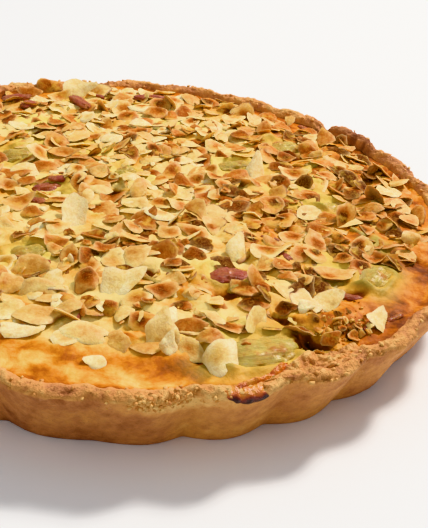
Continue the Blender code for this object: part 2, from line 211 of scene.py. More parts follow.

# Dark hollows, scorched juice and painted shade between flakes: place, half length, half width, depth, turn,
# and darkness
DarkHollow = namedtuple("DarkHollow", "x y long wide depth turn dark")
BURNS_AND_SHADE_GAPS = from_rows(DarkHollow, 5, (
    (63.5, -101, 8.5, 4.4, 5, -18, 1.25), (23.6, -112.2, 4.5, 3.4, 2.8, 40, 0.95),
    (77.4, -94.1, 3, 2.2, 2, 60, 0.85), (98.9, -38.8, 6.5, 3.6, 2.2, 25, 0.70),
    (110.8, -3.8, 5.5, 4, 2.2, 10, 0.70), (116.2, -36.9, 3, 4.2, 2, 10, 0.65),
    (-34.8, -68, 7, 3.2, 2.4, -10, 0.75), (4.8, -63.7, 4.5, 4.5, 2.6, 30, 0.85),
    (-11.7, -15.2, 8, 7, 2.4, 0, 0.60), (3, -16.5, 5, 4.5, 2.6, 0, 0.80),
    (-23.9, 12.4, 6, 3.6, 2.2, 10, 0.70), (-8.2, 1, 3.5, 5.5, 2.6, 0, 0.90),
    (44.9, -0.3, 7, 5, 2.2, -10, 0.65), (100, 35, 12.5, 4.2, 2.4, -35, 0.65),
    (73.2, 56, 9, 6, 2.6, 15, 0.80), (-61.9, 87.9, 7, 7, 2.6, 20, 0.75), (-25.7, 44, 3.6, 8, 2, 20, 0.60),
    (35.7, -76, 6.5, 5.5, 1.8, 0, 0.60), (-99, -16, 6, 4, 2.2, 35, 0.65),
    (-50, -92, 5, 3.5, 2, -15, 0.60), (-75, -76, 7, 4, 2.2, 30, 0.70),
    (-104, 48, 6.5, 4.5, 2.2, -30, 0.65), (28, 98, 7, 4.5, 2.2, 10, 0.60), (84, -69, 8, 3.6, 2, 20, 0.75),
    (55.5, -88.5, 6, 3, 2.2, -10, 0.90), (48, 66, 6, 4, 2.2, 20, 0.75), (10, 56, 5, 3.6, 2.2, -30, 0.70),
    (-48, 56, 6, 3.4, 2.2, 40, 0.75), (-76, 22, 7, 4, 2.2, -10, 0.75), (-14, 109, 8, 4, 2, 0, 0.70),
    (-64, -26, 6, 3.6, 2.2, 20, 0.75), (62, -8, 7, 3.4, 2.2, 10, 0.75),
))

# Browner, or with a minus paler, patches on the custard: place, half length, half width, turn, and amount
Stain = namedtuple("Stain", "x y long wide turn amount")
STAINS = from_rows(Stain, 4, (
    (12.7, -118, 19, 8, 5, 0.44), (-28.3, -112.3, 14, 5, -14, 0.30), (-23, -120.5, 19, 5, -10, -0.26),
    (1.4, -123.5, 11, 4, 0, -0.06), (-52, -109, 10, 6, -28, 0.20), (15, -121, 16, 8, 6, 0.16),
    (49, -122.5, 20, 5.5, 22, 0.50), (84, -100, 10, 6, 45, 0.16), (96, -86, 8, 5, 50, 0.24),
    (102, -65, 16, 9, 60, 0.30), (118, -44, 15, 7, 70, 0.18), (126, 10, 26, 6, 95, -0.14),
    (69, 100, 26, 6, 145, 0.12), (-63.1, 105.5, 12, 8, 25, 0.50), (-48, 121.5, 11, 6, 20, 0.50),
    (-113, -48, 8, 20, 20, 0.18), (70, -88, 26, 13, 18, 0.34), (101, -30, 12, 22, 0, 0.28),
    (98, 32, 22, 11, -35, 0.30), (35.7, -73.9, 9, 7, 0, 0.36),
))

# Torn pink stalk that shows between the flakes: place, length, width, height, rise of its middle, and turn
Torn = namedtuple("Torn", "x y length width height rise turn")
TORN = from_rows(Torn, 6, (
    (-30.5, 98.5, 19, 6.4, 3.6, 1.4, -58), (-63, 100.5, 15, 5.6, 3, 0.6, 20),
    (-56, 92, 8.6, 6.6, 2.6, 0.6, 60), (4, 111.5, 17, 5, 2.8, 0.4, 4), (-33, 5, 9, 5, 2.4, 0.4, 14),
    (-40, -12, 7, 4.4, 2.2, 0.2, -20), (87.2, -87.6, 12, 3.2, 1.8, 0, 52),
    (96.5, -82, 9, 2.2, 1.4, -0.1, 36), (81.5, -70, 11, 3.6, 2.4, 0.3, -12),
))

# Flakes that lie on top where the photo shows them: place, length, width, degrees of turn, tilt and lean,
# and how toasted they are all over and in the middle
Laid = namedtuple("Laid", "x y length width turn tilt lean tone patch")
LAID = from_rows(Laid, 4, (
    (-42.7, -76.5, 10.5, 9.2, 0, 12, 0, 0.36, 0.20), (-15.9, -75, 12, 8.4, 80, 16, 10, 0.46, 0.45),
    (-3, -75, 16, 12.5, 30, 20, -10, 0.06, 0.10), (11.4, -78.3, 11.2, 8.8, 10, 8, 20, 0.42, 0.50),
    (-30.7, -96.1, 15.5, 12, 5, 7, 0, 0.30, 0.20), (-14.3, -104.3, 16.5, 11, -6, 9, -12, 0.12, 0.25),
    (11.5, -103.7, 13, 11.8, 80, 42, 4, 0.14, 0.16), (13.8, -109.8, 7.5, 6.2, 80, 32, 10, 0.00, 0.00),
    (31, -116.5, 16, 11.2, 74, 22, 0, 0.05, 0.36), (27.7, -105.2, 9.2, 7.2, 20, 12, 30, 0.50, 0.10),
    (-23.9, -25, 17, 11.5, 86, 36, 0, 0.03, 0.00), (-30.1, -44.9, 9, 7, 10, 12, 0, 0.62, 0.20),
    (-10.7, -51.9, 8.5, 6.6, 40, 12, 0, 0.60, 0.20), (24.4, -50.2, 9, 7, -20, 14, 0, 0.72, 0.20),
    (52.3, -45.4, 14, 10.8, 12, 12, 10, 0.14, 0.72), (63.9, -30.2, 10.8, 9, -10, 10, 0, 0.36, 0.50),
    (40.5, -46, 15, 7.2, 84, 26, 20, 0.10, 0.05), (77.5, -57.1, 16.5, 10.5, 4, 10, 180, 0.40, 0.42),
    (71.5, -76.5, 14, 10, 30, 16, -10, 0.14, 0.10), (63, -79, 13, 9.2, -24, 24, 14, 0.10, 0.16),
    (62.8, -83.8, 6.2, 5.6, 0, 30, 0, 0.00, 0.00), (89, -86.8, 11.5, 7.4, 62, 22, 0, 0.10, 0.10),
    (115, 23.5, 11.8, 8.6, 4, 6, 0, 0.14, 0.10), (70.5, 29.3, 12.5, 10.8, 10, 8, 0, 0.18, 0.66),
    (54, 30.1, 15, 8.5, 82, 30, 0, 0.05, 0.00), (-5.9, 85.4, 11.5, 7.8, 30, 14, 0, 0.56, 0.40),
    (8, 90.6, 12, 8.8, 0, 14, 0, 0.50, 0.34), (15.6, 21.1, 12, 7.8, 60, 16, 0, 0.46, 0.40),
    (20.9, 12, 10, 6.6, -30, 18, 0, 0.64, 0.20), (-34.2, 35.9, 12.6, 8.6, 4, 8, 0, 0.46, 0.12),
    (-40.2, 20, 13, 9.2, -4, 10, 0, 0.52, 0.22), (-47.8, -15.9, 12.6, 10.2, 24, 12, 0, 0.42, 0.30),
    (-41, -23, 8.4, 6.4, 0, 14, 0, 0.60, 0.10), (-33.1, 114, 15, 12.5, 10, 44, 0, 0.10, 0.00),
    (90.2, -1, 11.4, 9, -14, 8, 0, 0.34, 0.40), (32.5, -23.9, 10.4, 9.2, 30, 10, 0, 0.30, 0.56),
    (14.5, -34.6, 10.4, 8.6, -20, 12, 0, 0.34, 0.40), (-10, -118, 7.6, 7, 100, 3, 0, 0.04, 0.00),
    (41, -108, 5.8, 4.6, 12, 16, 0, 0.74, 0.10), (59, -96.2, 10.5, 6.2, -24, 34, 200, 0.86, 0.14),
    (70.5, -99, 8.4, 5.2, 30, 26, 40, 0.74, 0.26), (66.8, -105.2, 6.2, 4, -10, 20, 150, 0.90, 0.10),
    (79, -96, 7, 4.6, 60, 24, 90, 0.70, 0.20), (56, -84, 8, 5, 10, 30, 20, 0.84, 0.16),
    (-48, 120, 13, 10, 12, 40, 10, 0.74, 0.20), (-57, 110, 12, 9, -14, 26, -20, 0.62, 0.20),
    (-42, 108, 11, 8.4, 40, 20, 30, 0.20, 0.50), (93.5, 37.2, 12.2, 6.2, -58, 14, 20, 0.86, 0.30),
    (98.3, 28.5, 13, 6.8, -62, 16, -10, 0.98, 0.20), (102.2, 20, 11, 5.8, -56, 12, 10, 0.96, 0.10),
    (70.3, 51.5, 10.4, 7, 24, 16, 0, 0.82, 0.20), (66.1, 36.4, 11.2, 6.2, 12, 14, 0, 0.80, 0.20),
    (47, 2.4, 8.4, 5.4, -10, 14, 0, 0.92, 0.10),
))

# Lumps over the rim's inner edge: middle bearing, half spread in degrees, radius, half reach, how much
# further out the far end is, and thickness. All are sunk equally far into what they lie on.
Mound = namedtuple("Mound", "bearing spread radius reach slant thick")
BROKEN_RIM = Mound(28.6, 8.6, 0.1306, 0.0056, -0.0020, 0.0017)
LAPPED_EDGE = Mound(19.6, 5.2, 0.1318, 0.0015, -0.0046, 0.0017)
MOUND_SUNK = 0.0012

# Where the custard boiled over: middle bearing, half spread in degrees, how far its middle lies above the
# case's widest place, half reach along the section, thickness, and how far it is sunk into the pastry
SPILL_BEARING = 16.2
SPILL_SPREAD = 2.9
SPILL_RISE = 0.0014
SPILL_REACH = 0.0042
SPILL_THICK = 0.0004
SPILL_SUNK = 0.0006

# The eye: metres from the tart, degrees, and the lens in millimetres
EYE_DISTANCE = 0.442
EYE_ELEVATION = 29.97
EYE_TURN = 5.45
EYE_DROP = 0.19
EYE_ROLL = 5.99
LENS = 68.18

# The floor's side, and the light: each lamp's place, side, power and colour
FLOOR_SIZE = 6.0
ROOM_GLOW = 0.52
Lamp = namedtuple("Lamp", "name place side power colour")
LAMPS = (
    Lamp("window", (0.52, 0.46, 0.80), 0.20, 14.8, (1.0, 0.96, 0.90)),
    Lamp("room", (-0.60, -0.50, 0.60), 0.80, 1.5, (1.0, 0.98, 0.95)),
)


def bearing_of(x, y):
    """Degrees round from the front, -Y, towards +X."""
    return np.degrees(np.arctan2(x, -y))


def on_bearing(bearing, radius):
    """x and y at a distance from the axis, on a bearing."""
    angle = np.radians(bearing)
    return radius * np.sin(angle), -radius * np.cos(angle)


def read_off(stations, bearing):
    """The value at a bearing, straight between the stations that stand round the tart."""
    return np.interp(bearing, *zip(*stations))


def smooth_step(value, low, high):
    """0 below low, 1 above high, and an S-shaped rise between them."""
    share = np.clip((value - low) / (high - low), 0.0, 1.0)
    return share * share * (3.0 - 2.0 * share)


def hump(value, middle, spread):
    """1 at the middle, falling off to both sides as a bell curve."""
    return np.exp(-(((value - middle) / spread) ** 2))


def seen_from(mark, x, y):
    """How far x and y are along and across a mark that is turned on the tart."""
    turn = math.radians(mark.turn)
    ahead, aside = x - mark.x, y - mark.y
    return ahead * math.cos(turn) + aside * math.sin(turn), aside * math.cos(turn) - ahead * math.sin(turn)


def blended(corners, u, v):
    """Values at the corners of unit cells, blended smoothly in between, that repeat past the last cell."""
    i, j = np.floor(u).astype(int), np.floor(v).astype(int)
    s, t = smooth_step(u - i, 0.0, 1.0), smooth_step(v - j, 0.0, 1.0)
    columns, rows = corners.shape
    i, k = i % columns, (i + 1) % columns
    j, m = j % rows, (j + 1) % rows
    near = corners[i, j] * (1.0 - s) + corners[k, j] * s
    far = corners[i, m] * (1.0 - s) + corners[k, m] * s
    return near * (1.0 - t) + far * t


def in_layers(single):
    """A noise that can be laid in layers, each with half the size and half the height of the one before."""
    def layered(a, b, seed, size, layers=1):
        return sum(0.5**k * single(a, b, seed + k, size * 0.5**k) for k in range(layers))
    return layered


@in_layers
def noise(x, y, seed, size):
    """Random heights from -1 to 1 at the corners of square cells, blended smoothly between them."""
    return blended(np.random.default_rng(seed).uniform(-1.0, 1.0, (64, 64)), x / size, y / size)


@in_layers
def ring_noise(bearing, along, seed, size):
    """The same on a band round the tart, with no seam: along is metres across the band."""
    cells = round(math.tau * RIM_RADIUS / size)
    corners = np.random.default_rng(seed).uniform(-1.0, 1.0, (cells, 64))
    return blended(corners, (bearing / 360.0) % 1.0 * cells, along / size)


def flute_dip(bearing):
    """How far the wall is pressed in: 0 on the crown of a flute, and about 1 in the valley between two."""
    turns = (bearing - FLUTE_PHASE) * FLUTES / 360.0
    strength = 1.0 + UNEVEN_FLUTES * np.random.default_rng(FLUTE_SEED).uniform(-1.0, 1.0, FLUTES)
    strength[round((SHALLOW_VALLEY - FLUTE_PHASE) * FLUTES / 360.0) % FLUTES] = SHALLOW_SHARE
    valley = np.round(turns).astype(int) % FLUTES
    return strength[valley] * (1.0 - np.sqrt(np.sin(np.pi * turns) ** 2 + 0.004))


def flute_depth(height):
    return np.interp(height, (0.0, RIM_HEIGHT), (FLUTE_DEPTH_AT_BASE, FLUTE_DEPTH))


def inner_wall(height):
    heights = (FLOOR_HEIGHT, INNER_BEND_HEIGHT, INNER_RIM_HEIGHT)
    return np.interp(height, heights, (FLOOR_RADIUS, INNER_BEND_RADIUS, INNER_RIM_RADIUS))


def outer_wall(height):
    return np.interp(height, (0.0, RIM_HEIGHT), (BASE_RADIUS, RIM_RADIUS))


def custard_height(x, y):
    """The custard's surface: low at the case, domed in the middle, with lumps from what lies in it."""
    share = np.minimum(np.hypot(x, y) / INNER_BEND_RADIUS, 1.0)
    edge = read_off(EDGE_LEVELS, bearing_of(x, y))
    dome = (CENTRE_HEIGHT - edge) * (1.0 - share**2)
    lumps = LUMP * noise(x, y, 21, LUMP_SIZE) + SMALL_LUMP * noise(x, y, 22, SMALL_LUMP_SIZE)
    return edge + dome + lumps * (1.0 - share**6)


def bell(x, y, mark, ragged=1.0):
    """1 in the middle of an oval mark, falling off as a bell curve, with a ragged outline."""
    u, v = seen_from(mark, x, y)
    u, v = u / mark.long, v / mark.wide
    return np.exp(-1.3 * (u * u + v * v) * ragged)


def burnt_share(x, y):
    """How dark, from 0 to 1, the custard is painted for scorched juice and painted shade between flakes, and
    how deep it is pitted there.
    """
    x, y = np.asarray(x), np.asarray(y)
    warped_x = x + HOLLOW_RAGGEDNESS * noise(x, y, 61, 0.0050, 3)
    warped_y = y + HOLLOW_RAGGEDNESS * noise(x, y, 64, 0.0050, 3)
    burnt = depth = np.zeros(x.shape)
    # Each hollow is painted dark: scorched juice, and painted shade in the gaps between flakes.
    for burn in BURNS_AND_SHADE_GAPS:
        share = bell(warped_x, warped_y, burn)
        burnt = np.maximum(burnt, share * burn.dark)
        depth = np.maximum(depth, share * burn.depth)
    return burnt, depth


def banked(x, y):
    """How far the custard has risen against each stalk's outline, and where there is rhubarb under it.

    A stalk's outline is where the fourth root of u^4 + v^4 is 1, and the bank is a bell curve across it.
    """
    bank = inside = np.zeros(x.shape)
    for chunk in CHUNKS:
        u, v = seen_from(chunk, x, y)
        u, v = u / (0.5 * chunk.length), v / (0.5 * chunk.width)
        away = (u**4 + v**4 + 1e-9) ** 0.25
        bank = np.maximum(bank, hump(away, 1.05, 0.22))
        inside = np.maximum(inside, np.exp(-((away / 1.7) ** 4)))
    return bank, inside


def custard_surface(x, y):
    """The custard as baked: lumps, swells that lap over flakes, banks round the rhubarb and the dark hollows.
    """
    share = np.minimum(np.hypot(x, y) / INNER_BEND_RADIUS, 1.0)
    topped = 1.0 - smooth_step(share, 0.80, 0.93)
    swell = SWELL * np.maximum(noise(x, y, 66, 0.0080, 4), -0.2) * topped
    lumps = FINE_LUMP * noise(x, y, 71, 0.0050, 4)
    bank = BANK * banked(x, y)[0] * (1.0 + 0.7 * noise(x, y, 73, 0.005))
    return custard_height(x, y) + swell + lumps + bank - burnt_share(x, y)[1]


def add_piece(name, rings, start, end, finish, slot, *replaced):
    """Closed shapes as one piece that rides with the tart, in the place of the solids that it replaces.

    Each shape is a stack of rings between two poles. rings holds (shape, ring, point round the ring, xyz),
    and start and end hold (shape, xyz). The faces point outwards.
    """
    shapes, count, around = rings.shape[:3]
    points = np.concatenate([rings.reshape(shapes, -1, 3), start[:, None], end[:, None]], axis=1)
    column = np.arange(around)
    after = (column + 1) % around
    row = np.arange(count - 1)[:, None] * around
    quads = np.stack([row + column, row + after, row + around + after, row + around + column], axis=-1)
    last = (count - 1) * around
    cap = np.stack([np.full(around, count * around), after, column], axis=-1)
    foot = np.stack([np.full(around, count * around + 1), last + column, last + after], axis=-1)
    offsets = np.arange(shapes)[:, None, None] * points.shape[1]
    quads = (quads.reshape(-1, 4) + offsets).reshape(-1, 4)
    triangles = (np.concatenate([cap, foot]) + offsets).reshape(-1, 3)
    points = points.reshape(-1, 3)
    halves = np.concatenate([triangles, quads[:, :3], quads[:, [0, 2, 3]]])
    if np.linalg.det(points[halves]).sum() < 0.0:
        quads, triangles = quads[:, ::-1], triangles[:, ::-1]
    mesh = bpy.data.meshes.new(name)
    mesh.from_pydata(points, [], quads.tolist() + triangles.tolist())
    mesh.shade_smooth()
    mesh.materials.append(finish)
    piece = bpy.data.objects.new(name, mesh)
    bpy.context.scene.collection.objects.link(piece)
    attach(piece, "root")
    if replaced:
        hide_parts(*replaced)
    return piece


def paint(piece, **shades):
    """Stores values on the points of a piece, for its finish to read by name."""
    for name, values in shades.items():
        layer = piece.data.attributes.new(name, "FLOAT", "POINT")
        layer.data.foreach_set("value", np.asarray(values, dtype=np.float32).ravel())


def tinted(red, green, blue):
    """A screen colour of 0 to 255 as the linear colour that shaders take."""
    screen = np.array([red, green, blue]) / 255.0
    linear = np.where(screen <= 0.04045, screen / 12.92, ((screen + 0.055) / 1.055) ** 2.4)
    return (*linear.tolist(), 1.0)


class Nodes:
    """A node tree with short ways to add nodes, each of which gives the new node's output."""

    def __init__(self, tree):
        self.tree = tree

    def add(self, kind, inputs=None, **settings):
        """A new node's outputs, once it has its settings and its inputs."""
        made = self.tree.nodes.new(kind)
        for name, value in settings.items():
            setattr(made, name, value)
        self.feed(made, inputs or {})
        return made.outputs

    def feed(self, made, inputs):
        """Sets each input to a value, or links it to the socket that is given for it."""
        for name, value in inputs.items():
            if isinstance(value, bpy.types.NodeSocket):
                self.tree.links.new(value, made.inputs[name])
            else:
                made.inputs[name].default_value = value

    def plus(self, first, second, clamp=False):
        return self.add("ShaderNodeMath", {0: first, 1: second}, operation="ADD", use_clamp=clamp)[0]

    def times(self, first, second):
        return self.add("ShaderNodeMath", {0: first, 1: second}, operation="MULTIPLY")[0]

    def noise(self, scale, detail=4.0, roughness=0.6, distortion=0.0):
        inputs = {"Scale": scale, "Detail": detail, "Roughness": roughness, "Distortion": distortion}
        return self.add("ShaderNodeTexNoise", {"Vector": self.place, **inputs})["Fac"]

    def ranged(self, value, low, high, new_low, new_high):
        inputs = {"Value": value, "From Min": low, "From Max": high, "To Min": new_low, "To Max": new_high}
        return self.add("ShaderNodeMapRange", inputs)["Result"]

    def mixed(self, factor, first, second):
        return self.add("ShaderNodeMix", {0: factor, 6: first, 7: second}, data_type="RGBA")[2]

    def ramp(self, factor, *stops):
        """Colours between stops, each a position and a screen colour."""
        output = self.add("ShaderNodeValToRGB", {"Fac": factor})["Color"]
        elements = output.node.color_ramp.elements
        while len(elements) < len(stops):
            elements.new(0.5)
        for element, (position, *colour) in zip(elements, stops):
            element.position = position
            element.color = tinted(*colour)
        return output


class Finish(Nodes):
    """A material whose patterns read the place on the object and what is painted on its points."""

    def __init__(self, name):
        self.material = bpy.data.materials.new(name)
        self.material.use_nodes = True
        super().__init__(self.material.node_tree)
        self.place = self.add("ShaderNodeTexCoord")["Object"]

    def painted(self, name):
        return self.add("ShaderNodeAttribute", attribute_name=name)["Fac"]

    def grained(self, grain, grain_scale, mottle_scale):
        """Adds the shared grain, for mottled and for the finish's bump."""
        inputs = {"Vector": self.place, "Grain Scale": grain_scale, "Mottle Scale": mottle_scale}
        self.height, self.mottle = self.add("ShaderNodeGroup", inputs, node_tree=grain)

    def mottled(self, low, high, spread=0.2):
        return self.ranged(self.mottle, 0.5 - spread, 0.5 + spread, low, high)

    def done(self, bump, inputs):
        """The material, with its shader's inputs and a bump of (height, strength, distance)."""
        bump = self.add("ShaderNodeBump", dict(zip(("Height", "Strength", "Distance"), bump)))["Normal"]
        self.feed(self.tree.nodes["Principled BSDF"], {"Normal": bump, **inputs})
        return self.material


def grain_group():
    """Fine baked grain for any surface: a height for its bump, and a mottling for its colour."""
    grain = Nodes(bpy.data.node_groups.new("baked_grain", "ShaderNodeTree"))
    sockets = grain.tree.interface
    sockets.new_socket("Vector", in_out="INPUT", socket_type="NodeSocketVector")
    for name, value in (("Grain Scale", 900.0), ("Mottle Scale", 220.0)):
        sockets.new_socket(name, in_out="INPUT", socket_type="NodeSocketFloat").default_value = value
    for name in ("Height", "Mottle"):
        sockets.new_socket(name, in_out="OUTPUT", socket_type="NodeSocketFloat")
    given = grain.add("NodeGroupInput")
    grain.place = given["Vector"]
    fine = grain.noise(given["Grain Scale"], detail=3.0, roughness=0.7)
    inputs = {"Vector": grain.place, "Scale": given["Grain Scale"]}
    pits = grain.add("ShaderNodeTexVoronoi", inputs)["Distance"]
    mottle = grain.noise(given["Mottle Scale"], detail=5.0, roughness=0.65)
    grain.add("NodeGroupOutput", {"Height": grain.plus(fine, grain.times(pits, 0.5)), "Mottle": mottle})
    return grain.tree


def pastry_finish(grain):
    """Shortcrust: pale tan to dark brown as painted for its baking and for shade, mottled and dry, crumbly
    where it is open.
    """
    skin = Finish("shortcrust")
    skin.grained(grain, 850.0, 190.0)
    colour = skin.ramp(
        skin.plus(skin.painted("bake"), skin.mottled(-0.14, 0.14)),
        (0.0, 238, 192, 122), (0.28, 218, 156, 94), (0.52, 190, 128, 84),
        (0.75, 146, 90, 60), (1.0, 80, 42, 24),
    )
    dark = skin.ranged(skin.noise(1500.0, detail=2.0), 0.60, 0.72, 0.0, 0.35)
    crumbs = skin.noise(520.0, detail=3.0, roughness=0.75, distortion=0.6)
    crumbs = skin.times(crumbs, skin.ranged(skin.painted("open"), 0.0, 1.0, 0.3, 3.2))
    return skin.done((skin.plus(skin.height, crumbs), 0.9, 0.0006), {
        "Base Color": skin.mixed(dark, colour, tinted(112, 62, 28)),
        "Roughness": skin.mottled(0.62, 0.88),
        "Specular IOR Level": 0.25,
    })


def custard_finish(grain):
    """Baked custard: deep yellow, browned in patches, green over rhubarb, dark where scorched, with painted
    shade between flakes, softly glossy.
    """
    skin = Finish("baked_custard")
    skin.grained(grain, 500.0, 150.0)
    patches = skin.noise(70.0, detail=6.0, roughness=0.62, distortion=0.8)
    brown = skin.plus(skin.painted("brown"), skin.ranged(patches, 0.35, 0.65, -0.20, 0.24))
    colour = skin.ramp(
        skin.plus(brown, skin.mottled(-0.14, 0.14, spread=0.15)),
        (0.0, 240, 216, 140), (0.25, 229, 183, 94), (0.50, 207, 130, 43),
        (0.72, 167, 89, 25), (1.0, 104, 48, 14),
    )
    colour = skin.mixed(skin.painted("green"), colour, tinted(210, 196, 100))
    # The painted darkness, down to near black, stands for scorched juice and for painted shade in the gaps
    # between flakes.
    burnt = skin.plus(skin.painted("burnt"), skin.mottled(-0.12, 0.12), clamp=True)
    scorch_and_shade = skin.ramp(burnt, (0.0, 156, 78, 24), (0.55, 104, 46, 16), (0.92, 30, 14, 8))
    return skin.done((skin.height, 0.6, 0.0005), {
        "Base Color": skin.mixed(skin.ranged(burnt, 0.18, 0.50, 0.0, 1.0), colour, scorch_and_shade),
        "Roughness": skin.mottled(0.46, 0.72),
        "Specular IOR Level": skin.ranged(burnt, 0.10, 0.50, 0.14, 0.02),
        "Subsurface Weight": 0.10,
        "Subsurface Radius": (1.0, 0.65, 0.30),
        "Subsurface Scale": 0.002,
    })


def almond_finish(grain):
    """Flaked almond: cream, glazed with custard in places, toasted where painted, with a pale rim."""
    skin = Finish("flaked_almond")
    skin.grained(grain, 1100.0, 380.0)
    toast = skin.plus(skin.painted("toast"), skin.mottled(-0.14, 0.14))
    colour = skin.ramp(
        toast, (0.0, 247, 231, 180), (0.20, 233, 205, 130), (0.42, 208, 158, 84),
        (0.62, 180, 107, 48), (0.82, 138, 64, 22), (1.0, 88, 40, 14),
    )
    colour = skin.mixed(skin.times(skin.painted("rim"), 0.45), colour, tinted(236, 204, 144))
    colour = skin.mixed(skin.ranged(skin.noise(150.0), 0.54, 0.68, 0.0, 0.6), colour, tinted(222, 180, 86))
    veins = skin.noise(420.0, detail=3.0, distortion=2.5)
    colour = skin.mixed(skin.ranged(veins, 0.42, 0.50, 0.26, 0.0), colour, tinted(204, 154, 84))
    return skin.done((skin.plus(skin.height, veins), 0.4, 0.0003), {
        "Base Color": skin.mixed(skin.painted("skin"), colour, tinted(124, 66, 32)),
        "Roughness": skin.mottled(0.42, 0.68),
        "Specular IOR Level": skin.ranged(toast, 0.25, 0.70, 0.34, 0.03),
        "Subsurface Weight": 0.40,
        "Subsurface Radius": (1.0, 0.72, 0.40),
        "Subsurface Scale": 0.0016,
    })


def rhubarb_finish(grain, name, flesh, outside, shade):
    """Cooked stalk: clear wet flesh with threads along it, skin colour in streaks, glazed brown in places."""
    skin = Finish(name)
    skin.grained(grain, 700.0, 200.0)
    inputs = {"W": skin.painted("thread"), "Scale": 22.0, "Detail": 4.0}
    threads = skin.add("ShaderNodeTexNoise", inputs, noise_dimensions="1D")["Fac"]
    streak = skin.ranged(threads, 0.35, 0.65, 0.0, 1.0)
    colour = skin.mixed(skin.times(streak, 0.6), tinted(*flesh), tinted(*outside))
    colour = skin.mixed(skin.ranged(skin.mottle, 0.40, 0.66, 0.0, 0.85), colour, tinted(*shade))
    glaze = skin.ranged(skin.noise(160.0), 0.54, 0.68, 0.0, 0.8)
    relief = skin.plus(skin.times(streak, 0.8), skin.times(skin.height, 0.5))
    return skin.done((relief, 0.8, 0.0006), {
        "Base Color": skin.mixed(glaze, colour, tinted(196, 118, 44)),
        "Roughness": skin.mottled(0.34, 0.58),
        "Coat Weight": 0.12,
        "Coat Roughness": 0.25,
        "Subsurface Weight": 0.25,
        "Subsurface Radius": (1.0, 0.85, 0.35),
        "Subsurface Scale": 0.003,
    })


def juice_finish(grain):
    """Custard and juice boiled dark over the rim: red-brown, orange where it is thin, sticky and glossy."""
    skin = Finish("burnt_juice")
    skin.grained(grain, 600.0, 260.0)
    dark = skin.plus(skin.painted("burnt"), skin.mottled(-0.25, 0.25))
    return skin.done((skin.height, 1.0, 0.0008), {
        "Base Color": skin.ramp(
            dark, (0.0, 222, 150, 66), (0.35, 196, 98, 38), (0.65, 126, 44, 22), (1.0, 54, 20, 14)
        ),
        "Roughness": skin.mottled(0.20, 0.50),
        "Coat Weight": 0.2,
        "Coat Roughness": 0.24,
    })


def case_section():
    """The case's section, from its floor over the rim to its underside, close together where it shows.

    Each point is a radius, a height and the way it faces, a quarter turn from its slope. Its place is how far
    along the section it is.
    """
    corners = np.array([
        (FLOOR_RADIUS, FLOOR_HEIGHT),
        (INNER_BEND_RADIUS, INNER_BEND_HEIGHT),
        *RIM_PROFILE,
        (outer_wall(FOOT_BEND) + 0.0004, FOOT_BEND),
        (BASE_RADIUS, 0.0),
        (FLOOR_RADIUS, 0.0),
    ])
    lengths = np.append(0.0, np.cumsum(np.hypot(*np.diff(corners, axis=0).T)))
    shown_from, shown_to = lengths[1], lengths[-2]
    fine = np.arange(shown_from, shown_to, CASE_STEP)
    places = np.concatenate([np.linspace(0.0, shown_from, 4)[:-1], fine, [shown_to, lengths[-1]]])
    sharp = np.column_stack([np.interp(places, lengths, part) for part in corners.T])
    section = sharp.copy()
    section[4:-2] = 0.25 * sharp[3:-3] + 0.5 * sharp[4:-2] + 0.25 * sharp[5:-1]
    slope = np.gradient(section, axis=0)
    facing = np.column_stack([-slope[:, 1], slope[:, 0]])
    return np.hstack([section, facing / np.hypot(*facing.T)[:, None]]), places


def widest_place():
    """Where the section is widest, at the rim's outer edge."""
    section, places = case_section()
    return places[section[:, 0].argmax()]


def rim_lift(bearing):
    """How far the rim stands above or below its usual height: a slow wave, one high stretch and one notch."""
    lift = RIM_WAVE * noise(*on_bearing(bearing, RIM_RADIUS), 32, RIM_WAVE_SIZE)
    stretch = smooth_step(bearing, HIGH_STRETCH[0] - 1.0, HIGH_STRETCH[0] + 1.0)
    stretch = stretch * (1.0 - smooth_step(bearing, HIGH_STRETCH[1] - 0.6, HIGH_STRETCH[1] + 0.6))
    return lift + HIGH_STRETCH_RISE * stretch - NOTCH_DEPTH * hump(bearing, NOTCH_BEARING, NOTCH_WIDTH)


def across_wall(radius, height):
    """From 0 on the case's inner face to 1 on its outer face, and from 0 below the rim to 1 at its crest."""
    inner, outer = inner_wall(height), outer_wall(height)
    across = np.clip((radius - inner) / (outer - inner), 0.0, 1.0)
    return across, smooth_step(height, INNER_BEND_HEIGHT + 0.002, CREST_HEIGHT - 0.001)


def fluted(radius, height, out, up, bearing, relief):
    """Points of the turned section, moved in by the flutes, up by the rim's lift and out by their relief."""
    across, on_rim = across_wall(radius, height)
    share = INNER_FLUTE_SHARE + (1.0 - INNER_FLUTE_SHARE) * across
    inward = share * flute_depth(height) * flute_dip(bearing)
    x, y = on_bearing(bearing, radius - inward + out * relief)
    return np.stack([x, y, np.maximum(height + up * relief + on_rim * rim_lift(bearing), 0.0)], axis=-1)


def on_case(bearing, place, relief):
    """Points that stand out from the case by relief, at places along its section."""
    section, places = case_section()
    return fluted(*(np.interp(place, places, part) for part in section.T), bearing, relief)


